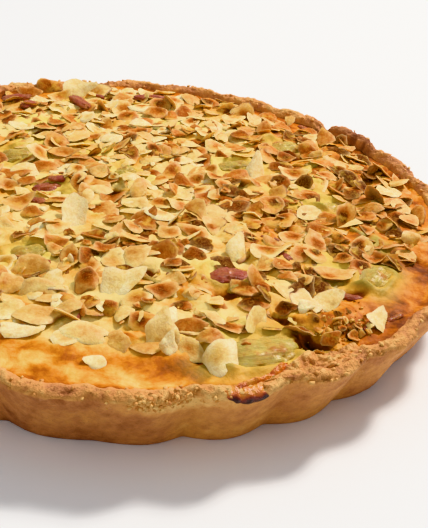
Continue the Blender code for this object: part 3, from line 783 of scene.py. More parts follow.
def case_piece(finish):
    """The turned, fluted case, roughened by crumbs, pits and chips: noise on the unrolled surface."""
    section, places = case_section()
    radius, height, out, up = section.T[:, :, None]
    place = places[:, None]
    bearing = np.linspace(-180.0, 180.0, CASE_COLUMNS, endpoint=False)[None, :]
    across, on_rim = across_wall(radius, height)
    on_wall = smooth_step(across, 0.85, 1.0) * smooth_step(height, 0.0005, 0.003)
    coarse = ring_noise(bearing, place, 41, 0.0046, 4)
    fine = ring_noise(bearing, place, 46, 0.0017, 2)
    broad = ring_noise(bearing, place, 51, 0.012, 3)
    pits = smooth_step(ring_noise(bearing, place, 57, 0.0022), 0.40, 0.85)
    edge = hump(across, 1.0, 0.12) * smooth_step(height, 0.0235, 0.0268)
    chips = smooth_step(ring_noise(bearing, place, 55, 0.0038), 0.25, 0.75)
    relief = on_rim * (RIM_CRUMB * coarse + RIM_GRIT * fine)
    relief = relief + on_wall * (WALL_CRUMB * broad + WALL_GRIT * fine)
    open_rim = on_rim * smooth_step(across, 0.10, 0.45)
    relief = relief - CHIP_DEPTH * edge * chips - PIT_DEPTH * pits * (0.20 * on_wall + 0.9 * open_rim)
    rings = fluted(radius, height, out, up, bearing, relief)
    poles = np.array([[0.0, 0.0, FLOOR_HEIGHT]]), np.array([[0.0, 0.0, 0.0]])
    piece = add_piece("pastry_case", rings[None], *poles, finish, "pastry", "crust")
    rim = read_off(RIM_BAKE, bearing) + 0.12 * broad - 0.14 * coarse - 0.10 * fine
    rim = rim + read_off(INNER_BAKE, bearing) * (1.0 - smooth_step(across, 0.20, 0.50))
    wall = read_off(WALL_BAKE, bearing) + 0.10 * broad + 0.04 * coarse + 0.03 * fine
    # The wall is painted darker towards its foot: painted shade.
    wall = wall + 0.08 * smooth_step(height, 0.006, 0.0)
    crumbled = hump(bearing, 7.5, 6.5) * smooth_step(height + 0.002 * coarse, 0.0190, 0.0230)
    wall = wall - 0.38 * crumbled
    top = smooth_step(height, RIM_HEIGHT - 0.0012, RIM_HEIGHT - 0.0001)
    # The pits in the open rim are also painted darker: painted shade in them.
    bake = np.where(across > 0.97, wall * (1.0 - top) + rim * top, rim) + 0.12 * pits * open_rim
    crumbly = np.broadcast_to(open_rim * (1.0 - on_wall * (1.0 - top)), bake.shape)
    paint(piece, bake=np.append(bake, (0.5, 0.5)), open=np.append(crumbly, (0.5, 0.5)))


def ragged_outline(angle, seed, *waves):
    """How far out an outline runs at an angle: 1 plus noise round the circle, for each depth and size."""
    outline = 1.0
    for number, (depth, size) in enumerate(waves):
        outline = outline + depth * ring_noise(np.degrees(angle), 0.0 * angle, seed + number, size)
    return outline


def skins_piece(name, top, under, finish, slot):
    """A thin shape between an upper and a lower skin, both in rings from the middle out."""
    rings = np.concatenate([top, under[::-1]])[None]
    return add_piece(name, rings, top[0].mean(axis=0)[None], under[0].mean(axis=0)[None], finish, slot)


def on_skins(values, poles):
    """The upper skin's values for the points of such a shape: the lower skin has the same, the poles not."""
    return np.append(np.concatenate([values, values[::-1]]), poles)


def spill_piece(finish):
    """Custard that boiled over the rim: an oval laid over the case's section, thick in the middle.

    At share s of the way out and angle a, it is at a bearing and at a distance along the section that lie on
    the oval, and its skin is a thickness times the square root of 1 - s^2 above the pastry.
    """
    share = np.array([0.18, 0.36, 0.54, 0.70, 0.82, 0.91, 0.97, 1.0])[:, None]
    angle = np.linspace(0.0, math.tau, 90, endpoint=False)[None, :]
    outline = ragged_outline(angle, 91, (0.34, 0.09), (0.18, 0.035))
    widest = widest_place()
    bearing = SPILL_BEARING + SPILL_SPREAD * share * outline * np.cos(angle)
    place = widest - SPILL_RISE + SPILL_REACH * share * outline * np.sin(angle)
    rough = 1.0 + 0.9 * ring_noise(bearing * 9.0, place * 2.0, 95, 0.012, 4)
    top = on_case(bearing, place, SPILL_THICK * np.sqrt(1.0 - 0.99 * share**2) * rough + 0.0001)
    under = on_case(bearing, place, -SPILL_SUNK * np.sqrt(1.01 - share**2))
    burnt = 0.12 + 0.88 * smooth_step(place - widest, -0.0026, 0.0008) + 0.2 * (rough - 1.0)
    piece = skins_piece("spilled_custard", top, under, finish, "custard")
    paint(piece, burnt=on_skins(burnt, (burnt[0, 0], 0.5)))


def mound_piece(name, finish, slot, oval, seed, lumpy, tone):
    """A lump over the rim's inner edge and the custard: broken pastry, or custard that lapped over it.

    At share s of the way out and angle a it is at a bearing and a radius that lie on a ragged, slanting oval,
    and it rises above what it lies on by its thickness times the square root of 1 - s^2, made rough by noise.
    """
    share = np.linspace(0.0, 1.0, 44)[1:, None] ** 0.7
    angle = np.linspace(0.0, math.tau, 300, endpoint=False)[None, :]
    outline = ragged_outline(angle, seed, (0.24, 0.11), (0.14, 0.034))
    ahead = share * outline * np.cos(angle)
    out = oval.radius + oval.slant * ahead + oval.reach * share * outline * np.sin(angle)
    bearing = oval.bearing + oval.spread * ahead
    x, y = on_bearing(bearing, out)
    profile = (INNER_BEND_RADIUS, INNER_BEND_HEIGHT), *RIM_PROFILE[:3], RIM_PROFILE[4]
    rim = np.interp(out, *zip(*profile)) + rim_lift(bearing)
    ground = np.maximum(custard_surface(x, y), rim)
    lumps = noise(x, y, seed + 2, 0.0046, 4) + 0.8 * noise(x, y, seed + 6, 0.0017, 2)
    rise = oval.thick * np.sqrt(1.0 - 0.98 * share**2) * (1.0 + lumpy * lumps)
    top = np.stack([x, y, ground + rise], axis=-1)
    under = np.stack([x, y, ground - MOUND_SUNK], axis=-1)
    shade = on_skins(tone - 0.20 * lumps + 0.10 * share**4, (tone, tone))
    piece = skins_piece(name, top, under, finish, slot)
    paint(piece, bake=shade, burnt=shade, open=np.ones_like(shade))


def custard_piece(heap, finish):
    """A disc of rings that rise by the custard's own surface and its laps, closed by a side and a base."""
    share = np.linspace(0.0, 1.0, CUSTARD_RINGS + 1)[1:, None]
    bearing = np.linspace(-180.0, 180.0, CUSTARD_COLUMNS, endpoint=False)[None, :]
    level = read_off(EDGE_LEVELS, bearing)
    edge = inner_wall(level) - INNER_FLUTE_SHARE * flute_depth(level) * flute_dip(bearing) + CUSTARD_OVERLAP
    x, y = on_bearing(bearing, share * edge)
    climb = CUSTARD_CLIMB * smooth_step(share, 0.965, 0.990) * (1.0 + 0.8 * noise(x, y, 76, 0.004))
    lapped, proud = heap.lapped(x, y)
    top = np.stack([x, y, custard_surface(x, y) + climb + lapped], axis=-1)
    side_x, side_y = on_bearing(bearing, inner_wall(CUSTARD_BASE) - 0.004 + 0.0 * bearing)
    side = np.stack([side_x, side_y, np.full_like(side_x, CUSTARD_BASE)], axis=-1)
    poles = top[0].mean(axis=0)[None], np.array([[0.0, 0.0, CUSTARD_BASE]])
    piece = add_piece("custard_top", np.concatenate([top, side])[None], *poles, finish, "custard", "custard")
    bank, inside = banked(x, y)
    topped = 1.0 - smooth_step(share, 0.80, 0.90)
    brown = 0.34 - 0.24 * topped + 0.17 * noise(x, y, 81, 0.014, 3)
    brown = brown + 0.22 * smooth_step(share, 0.962, 1.0) + 0.22 * bank + 0.36 * proud
    brown = brown + smooth_step(x, 0.02, 0.09) * (0.16 + 0.14 * topped)
    brown = brown + 0.34 * smooth_step(share, 0.940, 0.97) * smooth_step(y, 0.02, 0.08)
    ragged = 1.0 + 0.5 * noise(x, y, 84, 0.009, 3)
    brown = brown + sum(stain.amount * bell(x, y, stain, ragged) for stain in STAINS)
    dapple = smooth_step(noise(x, y, 87, 0.016, 3), 0.15, 0.6)
    green = np.maximum(0.55 * inside, 0.60 * dapple * (1.0 - smooth_step(share, 0.74, 0.88)))
    hidden = np.ones(CUSTARD_COLUMNS + 2)
    paint(
        piece,
        brown=np.append(brown, 0.5 * hidden),
        # Dark for scorched juice and for painted shade in the gaps between flakes.
        burnt=np.append(burnt_share(x, y)[0], 0.0 * hidden),
        green=np.append(green, 0.0 * hidden),
    )


def clear_of_chunks(x, y, reach):
    return all(
        math.hypot(x - chunk.x, y - chunk.y)
        > 0.5 * math.hypot(chunk.length, chunk.width) + CHUNK_CLEARANCE + reach
        for chunk in CHUNKS
    )


def over_chunk(x, y, margin):
    """True over the open top of a piece of rhubarb, which flakes leave clear."""
    seen = [(chunk, *seen_from(chunk, x, y)) for chunk in CHUNKS]
    return any(
        abs(u) < 0.5 * chunk.length + margin and abs(v) < 0.5 * chunk.width + margin for chunk, u, v in seen
    )


def draw_large_flakes():
    """The largest flakes: at random, clear of each other and the rhubarb, as the custard's solid has them.

    A dart's distance from the axis is the reach times the square root of a draw, so that darts fall evenly.
    """
    draw = np.random.default_rng(FLAKE_SEED)
    reach = max(edge for _, edge in ALMOND_EDGES)
    flakes = []
    for _ in range(FLAKE_DARTS):
        radius = reach * math.sqrt(draw.random())
        x, y = on_bearing(draw.uniform(-180.0, 180.0), radius)
        width_share, turn, tilt, lean = draw.random(4)
        length = np.interp(len(flakes), (0, FLAKES_WANTED), FLAKE_LENGTHS)
        crowded = any(math.hypot(x - flake.x, y - flake.y) < FLAKE_SPACING for flake in flakes)
        outside = radius > read_off(ALMOND_EDGES, bearing_of(x, y))
        if crowded or outside or not clear_of_chunks(x, y, 0.5 * length):
            continue
        width = length * np.interp(width_share, (0.0, 1.0), FLAKE_WIDTH_SHARE)
        tilt = math.radians(FLAKE_MOST_TILT * tilt)
        flakes.append(Flake(x, y, length, width, math.tau * turn, tilt, math.tau * lean))
    return flakes[:FLAKES_WANTED]


def draw_small_flakes(seed, wanted, spacing, lengths, taken=(), clear=(), patchy=0.0):
    """More flakes at random, clear of those taken, of the ones laid on top and of the dark hollows.

    Where the scatter is patchy, fewer are kept in the low parts of a slow noise.
    """
    draw = np.random.default_rng(seed)
    reach = max(edge for _, edge in FLAKE_EDGES)
    flakes = []
    places = np.array([(flake.x, flake.y) for flake in taken]).reshape(-1, 2)
    laid = np.array([(flake.x, flake.y, 0.42 * flake.length) for flake in clear]).reshape(-1, 3)
    for _ in range(40 * wanted):
        if len(flakes) == wanted:
            break
        radius = reach * math.sqrt(draw.random())
        x, y = on_bearing(draw.uniform(-180.0, 180.0), radius)
        size, width_share, turn, *_, keep = draw.random(6)
        edge = read_off(FLAKE_EDGES, bearing_of(x, y))
        thinning = smooth_step(radius, edge + FLAKE_THINNING[0], edge + FLAKE_THINNING[1])
        cover = 0.5 + 0.5 * noise(x, y, seed + 7, FLAKE_COVER_SIZE)
        if radius > edge or keep < max(0.8 * thinning, patchy * (1.0 - cover)):
            continue
        if len(places) and np.hypot(*(places - (x, y)).T).min() < spacing:
            continue
        if len(laid) and (np.hypot(*(laid[:, :2] - (x, y)).T) < laid[:, 2] + LAID_CLEARANCE).any():
            continue
        if burnt_share(x, y)[0] > FLAKE_MOST_BURN_AND_SHADE or over_chunk(x, y, FLAKE_CLEARANCE):
            continue
        length = np.interp(size, (0.0, 1.0), lengths)
        width = length * np.interp(width_share, (0.0, 1.0), SMALL_FLAKE_WIDTH_SHARE)
        flakes.append(Flake(x, y, length, width, math.tau * turn))
        places = np.vstack([places, (x, y)])
    return flakes


class Heap:
    """The height of what lies on the custard so far, in square cells."""

    def __init__(self):
        steps = round(2.0 * HEAP_REACH / HEAP_CELL)
        middle = -HEAP_REACH + (np.arange(steps) + 0.5) * HEAP_CELL
        self.x, self.y = np.meshgrid(middle, middle, indexing="ij")
        self.height = custard_surface(self.x, self.y)
        self.laps = self.proud = np.zeros_like(self.x)
        disc = np.linspace(-1.0, 1.0, 15)
        u, v = np.meshgrid(disc, disc, indexing="ij")
        inside = u * u + v * v <= 1.0
        self.u, self.v = u, v = u[inside], v[inside]
        self.solve = np.linalg.pinv(np.column_stack([np.ones_like(u), u, v, u * u, v * v, u * v]))

    def under(self, flake):
        """The cells that a flake covers."""
        ahead, across = self.u * 0.5 * flake.length, self.v * 0.5 * flake.width
        x = flake.x + ahead * math.cos(flake.turn) - across * math.sin(flake.turn)
        y = flake.y + ahead * math.sin(flake.turn) + across * math.cos(flake.turn)
        cells = ((np.array([x, y]) + HEAP_REACH) / HEAP_CELL).astype(int)
        return tuple(np.clip(cells, 0, len(self.height) - 1))

    def rest(self, flake, thickness, most_tilt, sink):
        """Lays a flake on what is under it, and returns its middle height, two slopes and three bends.

        The flake takes the curved sheet that fits the heights below it best, within its steepest slope and
        bend, and is raised until a share of them, the sink, lies under it.
        """
        beneath = self.height[self.under(flake)]
        level, ahead, across, *bends = self.solve @ beneath
        bends = np.clip(bends, -MOST_DRAPE, MOST_DRAPE)
        steepest = math.tan(math.radians(most_tilt))
        ahead = np.clip(ahead / (0.5 * flake.length), -steepest, steepest)
        across = np.clip(across / (0.5 * flake.width), -steepest, steepest)
        sheet = level + 0.5 * flake.length * ahead * self.u + 0.5 * flake.width * across * self.v
        sheet = sheet + bends[0] * self.u**2 + bends[1] * self.v**2 + bends[2] * self.u * self.v
        gap = np.quantile(beneath - sheet, sink)
        self.cover(flake, sheet + gap + thickness)
        return level + gap + 0.5 * thickness, ahead, across, *bends

    def cover(self, flake, top):
        np.maximum.at(self.height, self.under(flake), top)

    def lap(self, seed, low, high):
        """Runs custard over what lies there so far, in patches, and marks where flakes below stand proud."""
        custard = custard_surface(self.x, self.y)
        skin = softened(self.height, 2)
        swell = LAP_SWELL * noise(self.x, self.y, seed, 0.005, 3)
        patch = smooth_step(noise(self.x, self.y, seed + 5, 0.013, 4), low, high)
        patch = patch * (1.0 - smooth_step(np.hypot(self.x, self.y), *LAP_EDGE))
        raised = np.maximum(skin + swell - custard, 0.0) * patch
        proud = patch * smooth_step(skin - softened(self.height, 14), *PROUD_RISE)
        self.laps = np.maximum(self.laps, raised)
        self.proud = self.proud * (1.0 - patch) + proud
        self.height = np.maximum(self.height, custard + self.laps)

    def lapped(self, x, y):
        """How much higher the laps make the custard, and how proud they stand, read between the cells."""
        u, v = np.clip((np.array([x, y]) + HEAP_REACH) / HEAP_CELL - 0.5, 0.0, len(self.laps) - 1.001)
        i, j = u.astype(int), v.astype(int)
        s, t = u - i, v - j
        for grid in (self.laps, self.proud):
            near = grid[i, j] * (1.0 - s) + grid[i + 1, j] * s
            far = grid[i, j + 1] * (1.0 - s) + grid[i + 1, j + 1] * s
            yield near * (1.0 - t) + far * t


def softened(heights, times):
    """Heights averaged with their neighbours, a number of times."""
    for _ in range(times):
        for axis in (0, 1):
            heights = 0.25 * np.roll(heights, 1, axis) + 0.5 * heights + 0.25 * np.roll(heights, -1, axis)
    return heights


def tipped_frames(flakes, slopes, tips):
    """Each flake's axes along it, across it and out of its face: turned, laid on its slope, then tipped.

    The tip turns the three axes by an angle about a level axis that points along the lean.
    """
    turn = np.array([flake.turn for flake in flakes])
    ahead = np.column_stack([np.cos(turn), np.sin(turn), slopes[:, 0]])
    ahead /= np.linalg.norm(ahead, axis=1)[:, None]
    side = np.column_stack([-np.sin(turn), np.cos(turn), slopes[:, 1]])
    face = np.cross(ahead, side)
    face /= np.linalg.norm(face, axis=1)[:, None]
    frames = np.stack([ahead, np.cross(face, ahead), face], axis=1)
    angle, lean = tips.T
    axis = np.column_stack([np.cos(lean), np.sin(lean), np.zeros_like(lean)])[:, None, :]
    axis = np.broadcast_to(axis, frames.shape)
    cosine, sine = np.cos(angle)[:, None, None], np.sin(angle)[:, None, None]
    along = (frames * axis).sum(axis=2, keepdims=True) * axis
    return frames * cosine + np.cross(axis, frames) * sine + along * (1.0 - cosine)


def toasting(flakes, seed):
    """How toasted each flake is all over, and how much more in its middle: browner to the right and back."""
    draw = np.random.default_rng(seed)
    count = len(flakes)
    tone = np.clip(draw.normal(USUAL_TOAST, TOAST_SPREAD, count), 0.0, 0.9)
    baked = draw.random(count) < BAKED_SHARE
    tone = np.where(baked, draw.uniform(*BAKED_TOAST, count), tone)
    x, y = np.array([(flake.x, flake.y) for flake in flakes]).T
    to_the_right = smooth_step(x, 0.00, 0.07) * (1.0 - 0.5 * smooth_step(y, 0.02, 0.06))
    tone = tone + 0.24 * to_the_right + 0.10 * smooth_step(x + 0.6 * y, 0.09, 0.13)
    patched = draw.random(count) < PATCHED_SHARE
    return tone, np.where(patched, draw.uniform(*PATCH_TOAST, count), 0.0)


def flake_piece(
    name, flakes, rests, tips, finish, seed, toast,
    sides=FLAKE_SIDES, broken=0.0, thickness=FLAKE_THICKNESS, bend=1.0, uneven=1.0,
):
    """Many flakes in one mesh: each is an oval with one blunt point, thin, bent and a little ragged.

    A flake is rings of points at growing shares of its outline, over the top, round the edge and back
    under. Its outline is an ellipse times one plus a few waves, and a broken one stops at a ragged line.
    """
    draw = np.random.default_rng(seed)
    count = len(flakes)
    order = np.arange(count)[:, None, None]
    heights, slopes, drape = rests[:, 0], rests[:, 1:3], rests[:, 3:]
    angle = np.arange(sides) * math.tau / sides
    shares = np.array([0.50, 0.84, 1.0, 0.82])[None, :, None]
    levels = np.array([0.5, 0.46, 0.0, -0.46])[None, :, None]
    waves = 1.0 + uneven * sum(
        depth * np.cos(k * angle + draw.uniform(0.0, math.tau, (count, 1)))
        for k, depth in ((2, 0.06), (3, 0.07), (4, 0.05), (5, 0.045))
    )
    u, v = (shares * (waves * part(angle))[:, None, :] for part in (np.cos, np.sin))
    u = u + 0.10 * np.maximum(u, 0.0) ** 3
    snapped = draw.random(count) < broken
    limit = np.where(snapped, draw.uniform(-0.2, 0.6, count), 2.0)[:, None, None]
    u = np.minimum(u, limit + 0.12 * noise(3.0 * v, 7.0 * order + 0.0 * v, seed, 1.0))
    v = v * (1.0 - FLAKE_POINT * u)
    bends = bend * draw.normal(0.0, FLAKE_BEND, (3, count, 1, 1)) + drape.T[:, :, None, None]
    sizes = np.array([(flake.length, flake.width) for flake in flakes])
    half_length, half_width = 0.5 * sizes.T[:, :, None, None]
    thick = thickness * draw.uniform(0.7, 1.25, (count, 1, 1))
    lift = levels * thick + bends[0] * u * u + bends[1] * v * v + bends[2] * u * v
    lift = lift + bend * FLAKE_BUCKLE * noise(2.4 * u, 2.4 * v + 5.0 * order, seed + 1, 1.0)
    frames = tipped_frames(flakes, slopes, tips)
    middle = np.array([(flake.x, flake.y, height) for flake, height in zip(flakes, heights)])
    local = np.stack([u * half_length, v * half_width, lift], axis=-1)
    rings = np.einsum("nrci,nij->nrcj", local, frames) + middle[:, None, None, :]
    out = frames[:, 2] * (0.5 * thick[:, 0])
    piece = add_piece(name, rings, middle + out, middle - out, finish, "custard")
    piece.data.set_sharp_from_angle(angle=math.radians(55.0))
    paint(piece, **browned(draw, toast, u, v, shares))


def browned(draw, toast, u, v, shares):
    """The flakes' shades: their tone and a browner patch, which falls off as a bell curve, rim and skin."""
    tone, patch = (np.asarray(value)[:, None, None] for value in toast)
    count = len(tone)
    away_u, away_v = (draw.normal(0.0, 0.26, (count, 1, 1)) for _ in range(2))
    width = draw.uniform(0.42, 0.78, (count, 1, 1))
    toasted = tone + patch * np.exp(-(((u - away_u) ** 2 + (v - away_v) ** 2) / width**2) ** 1.5)
    middle = tone + patch * np.exp(-((away_u**2 + away_v**2) / width**2) ** 1.5)
    rim = np.broadcast_to(np.array([0.0, 0.25, 1.0, 0.8])[None, :, None], u.shape)
    side = draw.uniform(-math.pi, math.pi, (count, 1, 1))
    skinned = draw.random((count, 1, 1)) < SKINNED_SHARE
    skin = skinned * smooth_step(np.cos(np.arctan2(v, u) - side), 0.1, 0.6) * (shares > 0.95)
    none = np.zeros((count, 1))
    shades = ("toast", toasted, middle[:, :, 0]), ("rim", rim, none), ("skin", skin, none)
    return {
        name: np.concatenate([values.reshape(count, -1), pole, pole], axis=1) for name, values, pole in shades
    }


def large_flakes(heap, finish):
    """The flakes that the custard's solid carries, each where it lies there."""
    flakes = draw_large_flakes()
    rests = np.zeros((len(flakes), 6))
    for rest, flake in zip(rests, flakes):
        rest[0] = custard_height(flake.x, flake.y) + FLAKE_LIFT
        heap.cover(flake, rest[0] + 0.0006)
    tips = np.array([(flake.tilt, flake.lean) for flake in flakes])
    toast = toasting(flakes, 202)
    flake_piece(
        "almond_flakes_large", flakes, rests, tips, finish, 201, toast, thickness=LARGE_FLAKE_THICKNESS
    )
    return flakes


def scattered_flakes(heap, finish, name, seed, flakes, tipping, sink, broken=0.2):
    """Flakes laid one after another on the heap, each tipped a little out of the plane that it rests on."""
    draw = np.random.default_rng(seed)
    count = len(flakes)
    rests = np.array([heap.rest(flake, thickness=0.0007, most_tilt=34.0, sink=sink) for flake in flakes])
    tilt = np.radians(np.abs(draw.normal(0.0, tipping, count)))
    steep = draw.random(count) < STEEP_SHARE
    tilt = np.where(steep, np.radians(draw.uniform(*STEEP_TILT, count)), tilt)
    tips = np.column_stack([tilt, draw.uniform(0.0, math.tau, count)])
    rests[:, 0] += np.where(steep, STEEP_RISE, 0.0)
    rests[steep, 3:] = 0.0
    flake_piece(name, flakes, rests, tips, finish, seed, toasting(flakes, seed + 1), broken=broken)


def laid_flakes(heap, finish):
    """The flakes whose places were measured, on top of all the others."""
    flakes = [Flake(laid.x, laid.y, laid.length, laid.width, math.radians(laid.turn)) for laid in LAID]
    rests = np.array([heap.rest(flake, thickness=0.0008, most_tilt=14.0, sink=0.70) for flake in flakes])
    tips = np.radians([(laid.tilt, laid.lean) for laid in LAID])
    rests[:, 0] += 0.22 * np.array([laid.length for laid in LAID]) * np.sin(tips[:, 0])
    toast = [laid.tone for laid in LAID], [laid.patch for laid in LAID]
    flake_piece(
        "almond_flakes_laid", flakes, rests, tips, finish, 401, toast, sides=LAID_SIDES, bend=1.4, uneven=1.3
    )


def stalk(mark, height, level, seed, slant, rows, around):
    """A piece of cooked stalk: a D-shaped section with ridges, swept along it, slumped, with torn ends.

    Towards each end the section shrinks by the square root of one minus the cube of the distance. It is
    turned about the upright axis and put in its place. With it comes which thread each point lies on.
    """
    t = np.linspace(-1.0, 1.0, rows + 2)[1:-1, None]
    angle = np.arange(around)[None, :] * math.tau / around
    taper = (1.0 - np.abs(t) ** 3) ** 0.5
    across = np.cos(angle)
    up = np.maximum(np.sin(angle), -0.62 + 0.10 * np.cos(2.0 * angle))
    top = smooth_step(np.sin(angle), -0.3, 0.3)
    ridge = 1.0 + top * (0.022 * np.cos(13.0 * angle + 0.9 * t) + 0.020 * np.cos(23.0 * angle - 1.7 * t))
    lumps = noise(2.4 * t + 0.0 * angle, 1.6 * across + 3.0 * up + 9.0 * seed, 300 + seed, 1.0, 4)
    wrinkles = noise(9.0 * t + 0.0 * angle, 3.0 * angle + 5.0 * seed, 330 + seed, 1.0)
    swell = ridge * (1.0 + 0.17 * lumps + 0.03 * wrinkles * top) * taper
    ends = 1.0 + 0.10 * noise(2.0 * across, 2.0 * up + 5.0 * seed, 340 + seed, 1.0)
    z = 0.5 * height * up * swell
    x = 0.5 * mark.length * t * ends + slant * z * mark.length / height
    rings = np.stack([x, 0.5 * mark.width * across * swell, z], axis=-1)
    turn = math.radians(mark.turn)
    cosine, sine = math.cos(turn), math.sin(turn)
    rings = rings @ np.array([[cosine, sine, 0.0], [-sine, cosine, 0.0], [0.0, 0.0, 1.0]])
    thread = np.broadcast_to(angle / math.tau * 8.0 + seed, x.shape)
    return rings + np.array([mark.x, mark.y, level]), np.append(thread, (0.0, 0.0))


def stalks_piece(name, stalks, finish, slot, *replaced):
    """Stalks as one piece, each closed by a pole in the middle of its first and of its last ring."""
    stacks, threads = (np.array(part) for part in zip(*stalks))
    poles = stacks[:, 0].mean(axis=1), stacks[:, -1].mean(axis=1)
    paint(add_piece(name, stacks, *poles, finish, slot, *replaced), thread=threads)


def rhubarb_pieces(finishes):
    """Each piece of rhubarb where its solid lies, half sunk in the custard."""
    for number, chunk in enumerate(CHUNKS):
        node_name = f"rhubarb_{number + 1:02d}"
        level = float(custard_height(chunk.x, chunk.y)) + CHUNK_RISE - 0.5 * CHUNK_HEIGHT
        stalks = [stalk(chunk, CHUNK_HEIGHT, level, number, CHUNK_SLANT, 44, 48)]
        stalks_piece(
            "cooked_" + node_name, stalks, finishes[chunk.colour], "rhubarb_" + chunk.colour, node_name
        )


def stalk_bits(heap, finish, name, slot, bits, rows=10, around=14):
    """Torn bits of stalk on the heap: small pieces swept as the large ones are.

    The heap takes a bit's turn, which is in degrees, for radians. So the cells that set its height and that
    it covers are an oval of its own size and place, but not of its own turn.
    """
    stalks = []
    for number, bit in enumerate(bits):
        level = float(np.median(heap.height[heap.under(bit)])) + bit.rise
        stalks.append(stalk(bit, bit.height, level, number, 0.2, rows, around))
        heap.cover(bit, level + 0.3 * bit.height)
    stalks_piece(name, stalks, finish, slot)


def rhubarb_shreds(seed, wanted):
    """Thin shreds at random between the flakes, half sunk."""
    draw = np.random.default_rng(seed)
    return [
        Torn(
            bit.x, bit.y, bit.length, width=0.45 * bit.width, height=SHRED_HEIGHT,
            rise=draw.uniform(*SHRED_RISE), turn=math.degrees(bit.turn),
        )
        for bit in draw_small_flakes(seed + 1, wanted, spacing=0.009, lengths=(0.0045, 0.0105))
    ]


def lumps_piece(name, places, sizes, finish, slot, seed, tones):
    """Small rough lumps: stacks of two rings whose radii are each drawn at random."""
    draw = np.random.default_rng(seed)
    count = len(places)
    angle = np.arange(6) * math.tau / 6
    sizes = sizes[:, None, None]
    radii = draw.uniform(0.55, 1.35, (count, 2, 6)) * sizes
    stretch = draw.uniform(0.7, 1.3, (count, 1, 1))
    turn = draw.uniform(0.0, math.tau, (count, 1, 1))
    x = radii * np.cos(angle + turn) * stretch
    y = radii * np.sin(angle + turn)
    z = np.array([[0.45], [-0.35]]) * sizes + 0.2 * radii * np.cos(2.0 * angle + turn)
    rings = np.stack([x, y, z], axis=-1) + places[:, None, None, :]
    lift = np.array([0.0, 0.0, 0.8]) * sizes[:, 0]
    piece = add_piece(name, rings, places + lift, places - lift, finish, slot)
    tone = np.repeat(draw.uniform(*tones, count), 14)
    paint(piece, bake=tone, toast=tone, open=tone)


def pastry_crumbs(finish):
    """Crumbs that cling to the rim, thickest on the stretch of wall beside the shallow flute."""
    draw = np.random.default_rng(601)
    widest = widest_place()
    on_rim, on_wall = 300, 90
    rim = draw.uniform(-180.0, 180.0, on_rim), widest + draw.uniform(-0.0085, 0.0004, on_rim)
    wall = draw.normal(5.4, 3.0, on_wall), widest + draw.normal(0.0, 0.0022, on_wall)
    places = on_case(*np.hstack([rim, wall]), relief=0.0)
    sizes = draw.uniform(0.0003, 0.0010, len(places))
    lumps_piece("pastry_crumbs", places, sizes, finish, "pastry", 602, tones=(0.00, 0.36))


def almond_chips(heap, finish):
    """Broken bits of flake in the gaps, and fine crumbs of them near the dark hollows at the front right."""
    draw = np.random.default_rng(611)
    bits = draw_small_flakes(612, wanted=200, spacing=0.0035, lengths=(0.0030, 0.0068), clear=LAID)
    scattered_flakes(heap, finish, "almond_chips", 613, bits, tipping=16.0, sink=0.62, broken=0.5)
    crumbs, chips = 240, 34
    x, y = draw.normal(0.082, 0.009, crumbs), draw.normal(-0.092, 0.007, crumbs)
    inside = np.hypot(x, y) < 0.127
    x, y = x[inside], y[inside]
    places = np.column_stack([x, y, custard_surface(x, y) + 0.0001])
    sizes = draw.uniform(0.0002, 0.0006, len(places))
    lumps_piece("almond_crumbs", places, sizes, finish, "custard", 615, tones=(0.30, 0.95))
    drawn = (
        draw.normal(0.079, 0.007, chips), draw.normal(-0.091, 0.005, chips),
        draw.uniform(0.0022, 0.0052, chips), draw.uniform(0.0, math.tau, chips),
    )
    bits = [
        Flake(x, y, length, 0.7 * length, turn)
        for x, y, length, turn in zip(*drawn)
        if math.hypot(x, y) < 0.1265 and burnt_share(x, y)[0] < 0.5
    ]
    scattered_flakes(heap, finish, "almond_bits", 617, bits, tipping=22.0, sink=0.62, broken=0.8)


def add_floor():
    mesh = bpy.data.meshes.new("floor")
    half = 0.5 * FLOOR_SIZE
    corners = (-half, -half, 0.0), (half, -half, 0.0), (half, half, 0.0), (-half, half, 0.0)
    mesh.from_pydata(corners, [], [(0, 1, 2, 3)])
    table = Finish("pale_table")
    shade = table.mixed(table.noise(2.0), (0.80, 0.81, 0.82, 1.0), (0.86, 0.87, 0.88, 1.0))
    table.feed(table.tree.nodes["Principled BSDF"], {"Base Color": shade, "Roughness": 0.6})
    mesh.materials.append(table.material)
    floor = bpy.data.objects.new("floor", mesh)
    bpy.context.scene.collection.objects.link(floor)


def add_studio():
    """A softly glowing room, and square lamps that face the tart."""
    world = bpy.data.worlds.new("soft_room")
    world.use_nodes = True
    background = world.node_tree.nodes["Background"]
    background.inputs["Color"].default_value = (0.98, 0.98, 1.0, 1.0)
    background.inputs["Strength"].default_value = ROOM_GLOW
    bpy.context.scene.world = world
    bpy.context.scene.view_settings.view_transform = "Khronos PBR Neutral"
    for lamp in LAMPS:
        light = bpy.data.lights.new(lamp.name, "AREA")
        light.size, light.energy, light.color = lamp.side, lamp.power, lamp.colour
        holder = bpy.data.objects.new(lamp.name, light)
        holder.location = lamp.place
        holder.rotation_euler = Vector(lamp.place).to_track_quat("Z", "Y").to_euler()
        bpy.context.scene.collection.objects.link(holder)


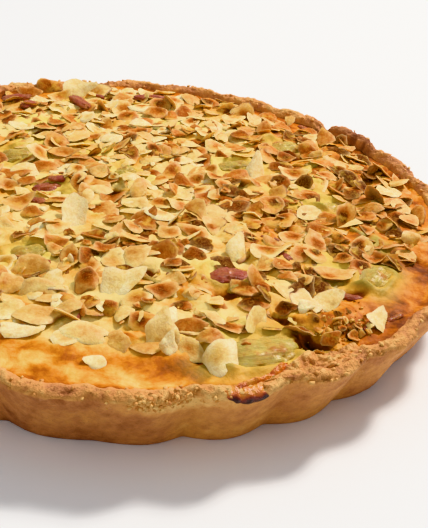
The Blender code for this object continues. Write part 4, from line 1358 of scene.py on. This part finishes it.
def add_camera():
    """The eye stands in front of the tart and looks past its middle, turned, dropped and rolled a little."""
    elevation = math.radians(EYE_ELEVATION)
    eye = Vector((0.0, -EYE_DISTANCE * math.cos(elevation), EYE_DISTANCE * math.sin(elevation)))
    turn = math.radians(EYE_TURN)
    drop = -elevation - math.radians(EYE_DROP)
    ahead = Vector((math.sin(turn) * math.cos(drop), math.cos(turn) * math.cos(drop), math.sin(drop)))
    side = ahead.cross(Vector((0.0, 0.0, 1.0))).normalized()
    above = side.cross(ahead)
    roll = math.radians(EYE_ROLL)
    right = side * math.cos(roll) + above * math.sin(roll)
    up = above * math.cos(roll) - side * math.sin(roll)
    camera = bpy.data.objects.new("camera", bpy.data.cameras.new("camera"))
    camera.data.lens = LENS
    camera.matrix_world = Matrix.Translation(eye) @ Matrix((right, up, -ahead)).transposed().to_4x4()
    bpy.context.scene.collection.objects.link(camera)
    bpy.context.scene.camera = camera


add_floor()
add_studio()
add_camera()

grain = grain_group()
pastry = pastry_finish(grain)
almond = almond_finish(grain)
green = rhubarb_finish(grain, "green_stalk", (218, 196, 104), (184, 156, 64), (218, 168, 72))
pink = rhubarb_finish(grain, "pink_stalk", (200, 98, 78), (142, 38, 44), (198, 122, 70))
case_piece(pastry)
juice = juice_finish(grain)
spill_piece(juice)
mound_piece("broken_rim_right", pastry, "pastry", BROKEN_RIM, 101, lumpy=0.6, tone=0.24)
mound_piece("lapped_custard", juice, "custard", LAPPED_EDGE, 131, lumpy=0.4, tone=0.20)
pastry_crumbs(pastry)
rhubarb_pieces({"green": green, "pink": pink})

heap = Heap()
large = large_flakes(heap, almond)
stalk_bits(heap, green, "green_shreds", "rhubarb_green", rhubarb_shreds(501, wanted=40))
stalk_bits(heap, pink, "pink_shreds", "rhubarb_pink", rhubarb_shreds(511, wanted=24))
lower = draw_small_flakes(
    301, wanted=340, spacing=0.0056, lengths=(0.0090, 0.0140), taken=large, clear=LAID, patchy=0.5
)
scattered_flakes(heap, almond, "almond_flakes_lower", 302, lower, tipping=12.0, sink=0.60)
heap.lap(121, low=-0.20, high=0.30)
almond_chips(heap, almond)
upper = draw_small_flakes(311, wanted=340, spacing=0.0064, lengths=(0.0092, 0.0145), clear=LAID, patchy=0.6)
scattered_flakes(heap, almond, "almond_flakes_upper", 312, upper, tipping=13.0, sink=0.56)
heap.lap(141, low=0.20, high=0.70)
custard_piece(heap, custard_finish(grain))
stalk_bits(heap, pink, "pink_skins", "rhubarb_pink", TORN, rows=28, around=32)
laid_flakes(heap, almond)
